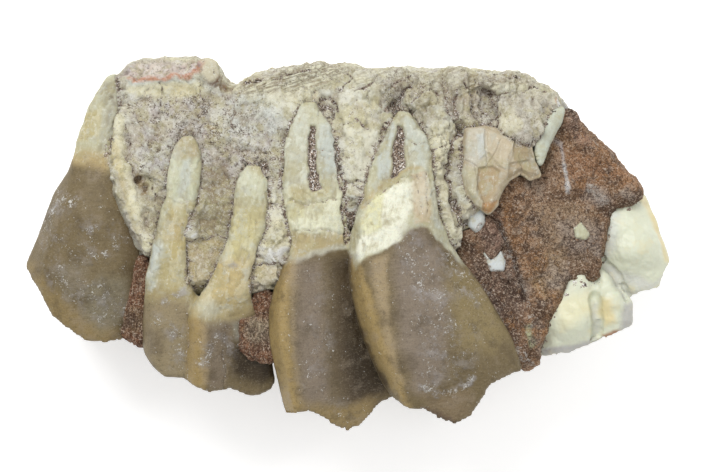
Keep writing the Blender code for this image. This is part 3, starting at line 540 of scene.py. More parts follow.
bone.tint[:] = BONE_BASE
bone.paint(BONE_CREAM, step(-0.1, 0.5, bone.waves(2.0, 4)) * 0.5)
bone.paint(BONE_TAN, step(0.1, 0.6, bone.waves(2.6, 5)) * 0.5)
# Masks for painted shade in the low parts of the relief and a painted highlight on its raised parts.
hollow = step(-0.05, -0.45, rough_height)
rise = step(0.10, 0.50, rough_height)
speckle = 0.15 + 0.3 * bone.waves(2.0, 6) + 0.4 * side
layered = step(0.2, 0.6, bone.waves(3.0, 8)) * side * step(4.0, 8.0, bone.at[:, 1]) * 0.7
LAYERED_EDGE = (
    (-8.9, 12.2), (-6.8, 13), (-3.8, 13.8), (0.2, 14), (0.2, 13.2), (-1.5, 12.2), (-3.8, 11.5),
    (-6.8, 11.4), (-8.5, 11.4),
)
UPPER_EDGE = (
    (0, 14.2), (11.5, 13.7), (14.9, 12.9), (14.3, 11.4), (9.2, 11.4), (6.2, 11.1), (3.1, 11.4), (0.2, 11.4),
)
layered = np.maximum(layered, bone.patch(LAYERED_EDGE, 0.4))
layered = np.maximum(layered, 0.45 * bone.patch(UPPER_EDGE, 0.5))
layer = bone.waves(0.40, 30, 2, (9.0, 1.0, 1.0), math.radians(LAYER_ANGLE))
bone.push(LAYER_HEIGHT * layer * layered)

for colour, softness, share, specks, outline in BONE_PATCHES:
    cover = bone.patch(outline, softness) * share
    bone.paint(colour, cover)
    speckle += (specks - speckle) * cover
FLAKE_TONES = (
    (BONE_UMBER, 0.6), ((0.46, 0.42, 0.23), 0.6), (BONE_LILAC, 0.5), (BONE_CREAM, 0.4), (BONE_BLUE, 0.6),
    ((0.84, 0.85, 0.78), 0.6), ((0.62, 0.57, 0.34), 0.55),
)
varied = (0.22 + 0.75 * np.clip(speckle, 0.0, 1.0)) * (1 - 0.7 * layered)
for order, (colour, share) in enumerate(FLAKE_TONES):
    for pick, weight in ((flake, 1.0), (chip, 0.7)):
        bone.paint(colour, share * weight * varied * (np.floor(pick * len(FLAKE_TONES)) == order))
for colour, softness, share, specks, outline in BONE_PATCHES:
    bone.paint(colour, bone.patch(outline, softness) * share * (0.75 - 0.55 * specks))
# Painted shade: umber in the low parts of the relief; painted highlight on the raised parts.
bone.paint(BONE_UMBER, hollow * (0.25 + 0.4 * varied))
bone.paint(BONE_CREST_HIGHLIGHT, rise * (0.25 + 0.3 * varied))
STUB_RIM = (
    (-17.2, 12.5), (-16.2, 12.5), (-15.2, 12.5), (-13.8, 12.7), (-12.6, 12.8), (-11.8, 13.1), (-11.5, 13.5),
)
STUB_UPPER_RIM = ((-17.4, 13.2), (-16.5, 13.9), (-15, 14.3), (-13.2, 14.2), (-11.8, 13.8), (-11.5, 13.5))
bone.paint(SALMON, bone.line(STUB_RIM, 0.30) * step(-0.9, -0.1, bone.waves(0.5, 16)) * 0.9)

# Stained strokes on the bone: colour, width, share and line.
BONE_STROKES = (
    (SALMON, 0.35, 0.6, ((-11.8, 13.8), (-11.5, 13.2))),
    (BONE_LILAC, 0.22, 0.7, STUB_UPPER_RIM),
    (RUST, 0.4, 0.9, ((-10.1, 12.5), (-9.5, 12.3), (-9.2, 12.2))),
    ((0.26, 0.17, 0.07), 0.55, 0.85, ((-16.2, 4.9), (-15.9, 4.5), (-15.7, 3.9))),
    ((0.55, 0.33, 0.17), 0.25, 0.8, ((-10.8, 8.8), (-10.5, 8.7))),
    ((0.66, 0.40, 0.16), 0.14, 0.8, ((15.8, 11.7), (15.9, 10.6))),
)
for colour, width, share, line in BONE_STROKES:
    bone.paint(colour, bone.line(line, width) * share)

# Seams and cracks that part the bone, each with its width and depth.
BONE_SEAMS = (
    (0.30, 0.25, ((-9.2, 12.2), (-8.1, 12.4), (-6.8, 13), (-5, 13.2))),
    (0.16, 0.15, ((-6.8, 12.2), (-5, 12.8), (-3.1, 13.1))),
    (0.14, 0.15, ((-14.5, 12.2), (-14.4, 11.1), (-14.6, 10))),
    (0.14, 0.15, ((-11.5, 12.3), (-11.4, 11.1), (-11.1, 10.3))),
    (0.30, 0.3, ((-18.2, 11.5), (-17.9, 10.5), (-18.1, 9.5))),
    (0.22, 0.3, ((-2.6, 10.9), (-1.8, 11.1), (-1.2, 10.7), (-0.8, 10))),
    (0.36, 0.3, ((-2.2, 10.5), (-1.5, 10.3), (-1.2, 9.5))),
    (0.18, 0.25, ((3.2, 9.5), (2.5, 9), (2.2, 8.1), (2.1, 7.1), (2, 6.2), (1.7, 5.2), (1.5, 4.4),
        (1.2, 3.6))),
    (0.18, 0.2, ((1.2, 3.6), (0.8, 2.5), (0.6, 1.3), (0.2, 0))),
    (0.40, 0.3, ((2.8, 10.2), (3.7, 10.6), (4.5, 10))),
    (0.28, 0.25, ((3.5, 10.6), (4, 11.5), (4.8, 12))),
    (0.18, 0.25, ((4.8, 9.9), (5.4, 9.2), (5.8, 8.5), (6, 7.5), (6, 6.3), (6.2, 5.2), (6.4, 4),
        (6.6, 2.8))),
    (0.28, 0.3, ((8.6, 9), (8.1, 7.8), (7.7, 6.3), (7.7, 4.8), (7.9, 3.2))),
    (0.45, 0.35, ((7.9, 3.2), (8.5, 2.1), (8.8, 0.9), (9.4, -0.3))),
    (0.40, 0.3, ((8.2, 9.1), (8.8, 8.2), (9, 7.1))),
    (0.22, 0.2, ((8.1, 11.5), (8.2, 10.3), (8.2, 9.1))),
    (0.26, 0.25, ((10.8, 8.6), (11.5, 8.1), (12.7, 7.7), (13.8, 7.3), (14.3, 8))),
    (0.25, 0.35, ((10.6, 11.5), (11.2, 10.6), (11.1, 9.5), (10.6, 8.8))),
    (0.30, 0.3, ((11.5, 13.1), (13.1, 12.9), (14.5, 12.5))),
    (0.16, 0.12, ((-0.4, 13.1), (0.2, 12.5), (-0.8, 11.5))),
    (0.16, 0.12, ((-8.5, 5.7), (-6.8, 6.3), (-6.2, 5.4))),
    (0.16, 0.25, ((7, 13.1), (7.2, 11.7), (7.5, 10.3), (8.1, 9.1))),
    (0.20, 0.30, ((9.8, 12.8), (10.3, 11.7), (10.2, 10.6), (10.8, 10))),
    (0.18, 0.25, ((8.9, 12.2), (9.5, 11.2), (9.4, 10), (10, 9.1))),
    (0.13, 0.20, ((11.5, 11.2), (12.3, 11.6), (13.1, 11.4), (14, 11.8), (15.1, 11.5))),
    (0.14, 0.20, ((11.3, 11.2), (11.5, 10.2), (11.3, 8.8))),
    (0.15, 0.20, ((2.8, 11.5), (3.5, 12.3), (4.9, 12.9), (6.2, 13.2))),
    (0.14, 0.18, ((0.5, 11.5), (1.7, 12.2), (2.3, 12.9))),
    (0.14, 0.18, ((4.8, 10.9), (5.4, 11.5), (6.3, 11.8), (6.9, 11.5))),
    (0.13, 0.18, ((-12.5, -0.1), (-11.8, 0.3), (-10.9, 0.1), (-10.1, 0.6), (-9.1, 0.4))),
    (0.14, 0.20, ((-7.6, -1.8), (-6, -1.5), (-4.5, -1.8))),
    (0.13, 0.18, ((-9.1, 11.2), (-8.8, 10), (-9.1, 8.9), (-8.5, 8))),
    (0.13, 0.18, ((-17.2, 9.1), (-16.9, 7.5), (-17.1, 6.3), (-16.5, 5.1))),
    (0.13, 0.18, ((-15.4, 4.8), (-14.8, 3.5), (-14.9, 2.2), (-14.3, 1.2))),
    (0.13, 0.15, ((-0.7, 8.9), (0.5, 9.2), (1.4, 8.8))),
    (0.13, 0.15, ((-0.5, 4.3), (0.5, 4.6), (1.2, 4.3))),
    (0.13, 0.15, ((-7.4, 2.2), (-6.2, 2.8), (-5.1, 2.6))),
    (0.13, 0.15, ((6.3, 7.1), (7.1, 7.4), (7.8, 7.1))),
)
seam = step(0.72 + 0.45 * bone.waves(0.9, 9), 0.16, gap)
seam = seam * (0.66 + 0.08 * veined) * (0.35 + 0.65 * bone.cheek)
seam = np.maximum(seam, np.maximum(creases, flake_edge) * free * 0.44)
for width, depth, line in BONE_SEAMS:
    on_line = bone.line(line, width)
    bone.push(-depth * on_line)
    seam = np.maximum(seam, on_line * 0.68)

# Pits in the bone: middle, radius and depth.
PITS = (
    ((-16.2, 4.7), 0.35, 0.5), ((-15.7, 4.2), 0.30, 0.4), ((12.3, 12.8), 0.35, 0.4),
    ((10.6, 11.2), 0.4, 0.4), ((11.2, 10.4), 0.35, 0.3), ((12.4, 11.1), 0.2, 0.25),
    ((11.5, 11.2), 0.18, 0.25), ((13.4, 10.6), 0.15, 0.2),
)
for centre, reach, depth in PITS:
    away = np.hypot(*(bone.read - centre).T)
    pit = step(reach, 0.2 * reach, away) * bone.cheek
    bone.push(-depth * pit)
    bone.paint(PIT_BROWN, pit * 0.6)
bone.push(-SEAM_DEPTH * step(0.38, 0.08, gap) * bone.cheek * free)
bone.at[:, 2] = np.maximum(bone.at[:, 2], 0.0)
bone.keep(seam=seam, speckle=np.clip(speckle, 0.0, 1.0), layered=layered)
jawbone.data.materials.append(fossil_bone())
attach(jawbone, "root")
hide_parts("jawbone")

# The teeth that have cut: brown enamel crowns over cream roots, grown in one. Each is cemented into its
# socket, its crown stands a little proud of the root, and its biting edge is chipped.
TOOTH_CUBE = 0.2
TOOTH_SOFTENING = 5
ROOT_CREAM = (0.53, 0.52, 0.37)
ROOT_YELLOW = (0.50, 0.42, 0.20)
ROOT_AMBER = (0.46, 0.35, 0.16)
ROOT_BLUE = (0.54, 0.57, 0.51)
ROOT_WHITE = (0.61, 0.61, 0.44)
ENAMEL = (0.172, 0.128, 0.060)
ENAMEL_PINK = (0.225, 0.178, 0.130)
ENAMEL_OLIVE = (0.26, 0.20, 0.09)
# Painted shade: near-black laid where a crown's face sinks towards the next lobe.
ENAMEL_PAINTED_SHADE = (0.028, 0.016, 0.004)
RIDGE_AMBER = (0.37, 0.265, 0.105)
# Painted highlight laid along the crest of a crown's ridge.
ENAMEL_CREST_HIGHLIGHT = (0.43, 0.33, 0.19)
ENAMEL_CLOUD = (0.31, 0.25, 0.18)
ENAMEL_SHADE = (0.05, 0.035, 0.02)
ENAMEL_BUFF = (0.39, 0.33, 0.23)
ROOT_DARK_TONE = (0.30, 0.24, 0.15)
CHALK_WHITE = (0.76, 0.75, 0.71)
CHALK_HAZE = (0.42, 0.40, 0.40)
CROWN_STEP = 0.20
ROOT_SWELL = 0.14


def tooth_enamel():
    """Crown and root: growth lines and chalky scratches on the enamel, cracks and grit on the root."""
    finish = Finish("tooth enamel and root", Specular_IOR_Level=0.35, Subsurface_Weight=0.05)
    finish.shader.inputs["Subsurface Radius"].default_value = (0.6 * MM, 0.4 * MM, 0.25 * MM)
    finish.shader.inputs["Subsurface Scale"].default_value = 1.0
    crown = finish.field("crown")
    root = 1 - crown
    finish.start()
    clouds = finish.noise(1.6, 11, 5.0, 0.6)
    finish.lay((0.075, 0.052, 0.024), clouds.ramp(0.50, 0.68) * crown * 0.45)
    finish.lay(ENAMEL_CLOUD, clouds.ramp(0.47, 0.32) * crown * 0.3)
    growth = finish.streaks(0.10, 22.0, 5.0, 23, 3.0, 0.6)
    finish.lay((0.36, 0.30, 0.22), growth.ramp(0.52, 0.66) * crown * 0.10)
    finish.lay((0.05, 0.035, 0.018), growth.ramp(0.46, 0.34) * crown * 0.10)
    mottle = finish.noise(0.35, 30, 6.0, 0.8)
    finish.lay((0.045, 0.03, 0.015), mottle.ramp(0.48, 0.34) * crown * 0.35)
    finish.lay(ENAMEL_BUFF, mottle.ramp(0.56, 0.70) * crown * 0.25)
    fine = finish.noise(0.13, 36, 4.0, 0.8)
    finish.lay(ENAMEL_SHADE, fine.ramp(0.46, 0.34) * crown * 0.45)
    finish.lay((0.42, 0.36, 0.26), fine.ramp(0.56, 0.67) * crown * 0.30)
    finish.lay(ROOT_DARK_TONE, fine.ramp(0.44, 0.33) * root * 0.35)
    strands = finish.streaks(0.28, 4.0, 78.0, 13)
    finish.lay((0.38, 0.32, 0.17), strands.ramp(0.52, 0.66) * root * 0.25)
    finish.lay((0.78, 0.79, 0.69), strands.ramp(0.46, 0.34) * root * 0.2)
    stains = finish.noise(1.2, 29, 5.0, 0.7)
    finish.lay((0.46, 0.42, 0.24), stains.ramp(0.50, 0.64) * root * 0.5)
    finish.lay(ROOT_BLUE, finish.noise(0.9, 14, 5.0, 0.7).ramp(0.52, 0.62) * root * 0.35)
    finish.lay((0.36, 0.28, 0.16), mottle.ramp(0.43, 0.32) * root * 0.5)
    finish.lay((0.84, 0.84, 0.74), mottle.ramp(0.54, 0.68) * root * 0.55)
    chalk = finish.field("chalk")
    patchy = (finish.noise(0.8, 18, 5.0, 0.7) - 0.5) * 0.9
    specks = (finish.grains(0.075, 17) + patchy * 0.6 + chalk * 0.06).ramp(1.0, 1.06)
    specks = specks + (finish.grains(0.13, 18) + patchy * 0.5 + chalk * 0.03).ramp(1.03, 1.06)
    wisps = (finish.noise(0.32, 19, 6.0, 0.75, 1.2) + patchy * 0.35 + chalk * 0.11).ramp(0.64, 0.71)
    white = specks * 0.7 + wisps * chalk.ramp(0.05, 0.5) * 0.9
    haze = finish.noise(0.4, 26, 6.0, 0.85) + (finish.noise(1.1, 28, 4.0) - 0.5) * 0.9
    haze = haze.ramp(0.46, 0.70) * chalk
    finish.lay(CHALK_HAZE, haze * 0.65)
    finish.lay(CHALK_WHITE, white.ramp(0.0, 1.0) * (0.25 + crown * 0.45))
    seam_grit(finish, finish.field("seam") - 0.02, 3)
    height = growth * crown * 0.06 + mottle * (0.08 + root * 0.16) + white * 0.06 + haze * 0.10
    rough = 0.36 + finish.noise(0.6, 22, 3.0) * 0.2 + white * 0.2 + haze * 0.25 + root * 0.16
    return finish.done(rough, height, 0.55)


enamel = tooth_enamel()


def dress_tooth(name, node, neighbours, crown_outline, neck, patches, lines, slits, chalk_marks):
    """Shapes and paints one tooth, its neck this soft, and hands it to the frame."""
    piece = dense_copy(name, node, TOOTH_CUBE, TOOTH_SOFTENING)
    skin = Skin(piece, 0.18)
    near = skin.gap_to(neighbours)[0]
    depth = depth_inside(skin.read, crown_outline)
    crown = step(-neck, neck, depth)
    roots = step(0.1, -1.6, depth)
    lengthwise = (0.6, 3.0, 1.0)
    flake, flake_edge = skin.flakes(1.1, 3, (0.8, 1.5, 1.0))
    relief = 0.12 * skin.waves(1.4, 7) + 0.13 * skin.waves(0.9, 3, 3, lengthwise)
    relief += 0.05 * skin.waves(0.35, 4)
    relief += 0.16 * (flake - 0.5) - 0.10 * skin.creases(1.3, 9, 0.14, lengthwise) - 0.05 * flake_edge
    skin.push(CROWN_STEP * crown + ROOT_SWELL * (1 - crown) + relief * (0.06 + 0.64 * roots))
    skin.tint[:] = ROOT_CREAM
    skin.paint(ROOT_YELLOW, step(0.0, 0.5, skin.waves(1.8, 5)) * 0.4)
    skin.paint(ENAMEL, crown)
    for colour, softness, share, outline in patches:
        skin.paint(colour, skin.patch(outline, softness) * share)
    skin.paint((0.42, 0.37, 0.20), (flake < 0.25) * roots * 0.35)
    skin.paint((0.74, 0.75, 0.62), (flake > 0.75) * roots * 0.25)
    # Darker where the root's relief is low.
    skin.paint(ROOT_DARK_TONE, step(-0.05, -0.22, relief) * roots * 0.55)
    seam = step(0.52, 0.30, near) * 0.55 * (1 - 0.75 * crown)
    for width, depth, grit, line in lines:
        on_line = skin.line(line, width)
        skin.push(-depth * on_line)
        seam = np.maximum(seam, on_line * grit)
    for depth, outline in slits:
        inside = skin.patch(outline, 0.12)
        skin.push(-depth * inside)
        seam = np.maximum(seam, inside)
    chalk = np.zeros(len(skin.at))
    for width, share, line in chalk_marks:
        chalk = np.maximum(chalk, share * skin.line(line, width))
    skin.keep(crown=crown, seam=seam, chalk=chalk)
    piece.data.materials.append(enamel)
    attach(piece, "root")
    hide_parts(node)
    return piece


PREMOLAR_NECK = 0.7
PREMOLAR_CROWN = (
    (-22.9, 6.9), (-21.2, 6.5), (-19.6, 6.5), (-18.8, 6.2), (-18.2, 5.5), (-17.2, 3.8), (-16.2, 3.2),
    (-15.4, -2.2), (-15.4, -9.1), (-26.9, -9.1), (-26.9, 3.2),
)
PREMOLAR_PATCHES = (
    (ROOT_CREAM, 0.5, 0.8, ((-20.2, 13.2), (-18.3, 13.1), (-18.6, 11.7), (-19.2, 9.4), (-19.6, 7.2),
        (-21.4, 7.1), (-20.8, 10.2))),
    (ROOT_YELLOW, 0.4, 0.8, ((-20.5, 10), (-18.9, 10.2), (-19.4, 7.8), (-21.1, 7.7))),
    ((0.34, 0.32, 0.23), 0.2, 0.9, ((-18.9, 12.2), (-18, 12.5), (-18, 9.4), (-18.5, 7.1), (-19.4, 6.9),
        (-19.1, 9.8))),
    ((0.12, 0.09, 0.07), 0.1, 0.6, ((-18.5, 11.2), (-18.2, 11.3), (-18.2, 10.5), (-18.5, 10.3))),
    ((0.12, 0.09, 0.07), 0.1, 0.6, ((-18.7, 10), (-18.4, 10.2), (-18.5, 9.2), (-18.8, 8.9))),
    (ROOT_AMBER, 0.5, 0.85, ((-21.8, 7.2), (-19.5, 7.1), (-18.6, 6.6), (-18.2, 5.4), (-20, 5.8),
        (-22.2, 6))),
    ((0.27, 0.195, 0.08), 0.6, 0.85, ((-25.8, -1.5), (-24.3, -1.7), (-23.2, -3.2), (-21.5, -4.8),
        (-19.7, -6.3), (-17.4, -6.8), (-16.6, -6.9), (-16.9, -8.3), (-20.8, -8.5), (-24.6, -5.2))),
    # Painted shade: the premolar's crown darkens towards its right edge.
    ((0.13, 0.09, 0.045), 0.6, 0.6, ((-17.5, 3.2), (-16.5, 2.1), (-16.2, -6.8), (-17.4, -7.2),
        (-17.5, -2.2))),
    ((0.25, 0.23, 0.18), 0.7, 0.35, ((-22.5, -2.2), (-21.4, -1.7), (-20.3, -2), (-20.6, -4.2),
        (-21.8, -4.5))),
    ((0.25, 0.235, 0.17), 0.7, 0.45, ((-20.5, -3.7), (-19.2, -2.6), (-17.2, -2.8), (-16.9, -4.5),
        (-17.5, -6.2), (-19.2, -6.9), (-20.5, -5.8))),
)
PREMOLAR_CHALK = (
    (1.2, 0.8, ((-23.8, 1.2), (-23.1, 2.3), (-22.2, 3.1))), (0.5, 1.0, ((-21.4, 2.9), (-20.9, 3.2))),
    (1.1, 0.5, ((-23.4, -0.2), (-22.5, 0.5))), (0.45, 1.0, ((-20, 0.8), (-19.5, 1.1))),
    (0.3, 1.0, ((-19.2, 2.5), (-18.9, 2.6))), (0.5, 0.8, ((-19.5, -1.1), (-18.9, -1))),
    (2.4, 0.55, ((-19.5, -4.2), (-18.3, -5.4))), (1.8, 0.5, ((-22.2, -2.8), (-20.9, -3.7))),
    (2.0, 0.35, ((-22.5, -1.5), (-19.8, -0.5))), (1.8, 0.3, ((-20.8, 1.4), (-18, 0.2))),
)
dress_tooth(
    "premolar_fossil", "premolar", ("jawbone", "matrix_wedge_front"),
    PREMOLAR_CROWN, PREMOLAR_NECK, PREMOLAR_PATCHES, (), (), PREMOLAR_CHALK,
)

FIRST_NECK = 0.65
FIRST_CROWN = (
    (-16.5, -4.3), (-15.5, -4.2), (-14.8, -3.8), (-13.8, -3.8), (-12.8, -4.2), (-12.3, -4.9), (-11.5, -5.7),
    (-10.6, -6.2), (-9.5, -5.8), (-8.5, -5.1), (-6.8, -4.5), (-4.6, -4.5), (-4.6, -13.7), (-16.9, -13.7),
)
FIRST_PATCHES = (
    ((0.44, 0.37, 0.22), 0.25, 0.85, ((-13.4, 8), (-11.5, 8), (-11.5, 6.6), (-12.6, 6.2), (-13.5, 6.5))),
    ((0.56, 0.57, 0.40), 0.3, 0.8, ((-13.7, 6.2), (-11.5, 6.5), (-11.5, 4), (-12.3, 3.1), (-13.8, 3.4))),
    (ROOT_BLUE, 0.2, 0.8, ((-12.8, 6.3), (-12.2, 6.5), (-12, 5.1), (-12.8, 3.5), (-13.2, 3.8))),
    ((0.46, 0.39, 0.19), 0.5, 0.9, ((-16.2, -1.5), (-14.6, 0.5), (-12.3, 0.5), (-11.5, -1.5),
        (-11.5, -4.5), (-16.2, -4.5))),
    ((0.55, 0.44, 0.21), 0.5, 0.9, ((-11.5, -1.5), (-9.4, -0.3), (-6.8, -0.5), (-6.8, -3.7),
        (-7.7, -5.4), (-9.8, -6), (-12.2, -6.2))),
    ((0.34, 0.27, 0.13), 0.5, 0.7, ((-16.3, -3.1), (-12.3, -2.8), (-11.2, -4.5), (-12.2, -4.8),
        (-16.2, -4.5))),
    ((0.36, 0.29, 0.15), 0.5, 0.6, ((-11.8, -4.9), (-9.8, -5.7), (-8.2, -4.3), (-6.8, -3.5),
        (-6.8, -4.9), (-8.5, -5.4), (-10.6, -6.5), (-11.8, -5.8))),
    (ROOT_YELLOW, 0.4, 0.9, ((-13.8, 2.9), (-11.8, 2.9), (-12.6, 1.3), (-12.8, -0.6), (-12.8, -3.5),
        (-14.2, -3.5), (-14.3, 0.2))),
    ((0.50, 0.40, 0.20), 0.3, 0.7, ((-14.2, 1.5), (-12.6, 1.8), (-12.9, 0.2), (-14.3, 0))),
    (ROOT_BLUE, 0.25, 1.0, ((-15.2, -0.3), (-14.6, 0.3), (-14.2, -0.3), (-14.6, -2.2), (-15.2, -3.7),
        (-15.5, -2.5))),
    ((0.31, 0.25, 0.145), 0.6, 0.85, ((-15.9, -4.5), (-12.5, -4.5), (-12.3, -10.9), (-15.7, -10.2))),
    # Painted shade below the bulge of the first molar's front lobe.
    ((0.13, 0.095, 0.06), 0.5, 0.5, ((-15.4, -6.4), (-14.5, -6.8), (-14.3, -8.5), (-15.4, -8.8))),
    (ROOT_WHITE, 0.25, 0.9, ((-8.2, 5.4), (-6.3, 5.1), (-6.4, 3), (-8.6, 2.8))),
    ((0.60, 0.54, 0.28), 0.5, 0.9, ((-8.8, 2.6), (-6.6, 2.8), (-7.2, -0.2), (-7.7, -1.8), (-9.5, -1.1))),
    ((0.56, 0.45, 0.22), 0.5, 0.85, ((-9.8, -1.5), (-7.7, -1.1), (-7.9, -4.2), (-9.8, -4.9),
        (-11.7, -4.6), (-11.1, -3.1))),
    ((0.58, 0.57, 0.44), 0.4, 0.7, ((-11.7, -4.7), (-10.4, -4.5), (-9.5, -4.9), (-10.5, -5.8),
        (-11.5, -5.7))),
    (RIDGE_AMBER, 0.3, 0.85, ((-12.3, -5.8), (-11.3, -5.8), (-11.2, -8.3), (-11.2, -11.4), (-12.5, -11.1))),
    # Painted highlight along this ridge's crest.
    (ENAMEL_CREST_HIGHLIGHT, 0.2, 0.5, ((-11.5, -6.2), (-11, -6.2), (-10.9, -10.6), (-11.4, -10.9))),
    (ENAMEL_PINK, 0.4, 0.7, ((-11, -6.2), (-9.1, -6), (-9.4, -8.3), (-9.8, -11.2), (-10.9, -11.2))),
    # Painted shade on the hollow to the right of the first molar's rear lobe.
    (ENAMEL_PAINTED_SHADE, 0.7, 1.0, ((-9.2, -8.2), (-8.5, -7.2), (-7.2, -8.7), (-5.7, -9.2), (-5.7, -10.3),
        (-6.8, -10.9), (-8.2, -10.6), (-9.2, -10))),
    (ROOT_BLUE, 0.3, 0.3, ((-9.1, -6.2), (-8.2, -5.5), (-8, -7.2), (-8.8, -7.5))),
)
FIRST_CHALK = (
    (0.45, 1.0, ((-14.1, -4.5), (-13.4, -4.1), (-12.5, -3.7))), (0.35, 1.0, ((-12.4, -1.5), (-12.1, -2.2))),
    (0.4, 1.0, ((-12.3, -2.9), (-11.3, -2.2))), (0.3, 1.0, ((-13.3, -2.2), (-13.1, -2.5))),
    (0.45, 1.0, ((-9.6, -1.5), (-8.8, -1.8))), (1.2, 0.65, ((-13.4, -6.8), (-13, -7.9), (-13.3, -9.1))),
    (0.9, 0.75, ((-9.5, -6.8), (-10.5, -7.8), (-11.2, -8.9))), (1.2, 0.5, ((-9.1, -7.5), (-9.8, -9.1))),
    (0.6, 0.5, ((-14.9, -5.7), (-14.3, -6.2))),
)
FIRST_LINES = (
    (0.10, 0.05, 0.45, ((-12.5, -4.5), (-12.3, -6.8), (-12.4, -10.3))),
    (0.10, 0.10, 0.40, ((-9.8, -8.3), (-9.7, -10), (-9.8, -11.2))),
    (0.10, 0.08, 0.40, ((-13.8, 3.2), (-12.8, 2.9), (-11.6, 3.3))),
)
dress_tooth(
    "first_molar_fossil", "first_molar", ("jawbone", "matrix_wedge_front", "matrix_wedge_middle"),
    FIRST_CROWN, FIRST_NECK, FIRST_PATCHES, FIRST_LINES, (), FIRST_CHALK,
)

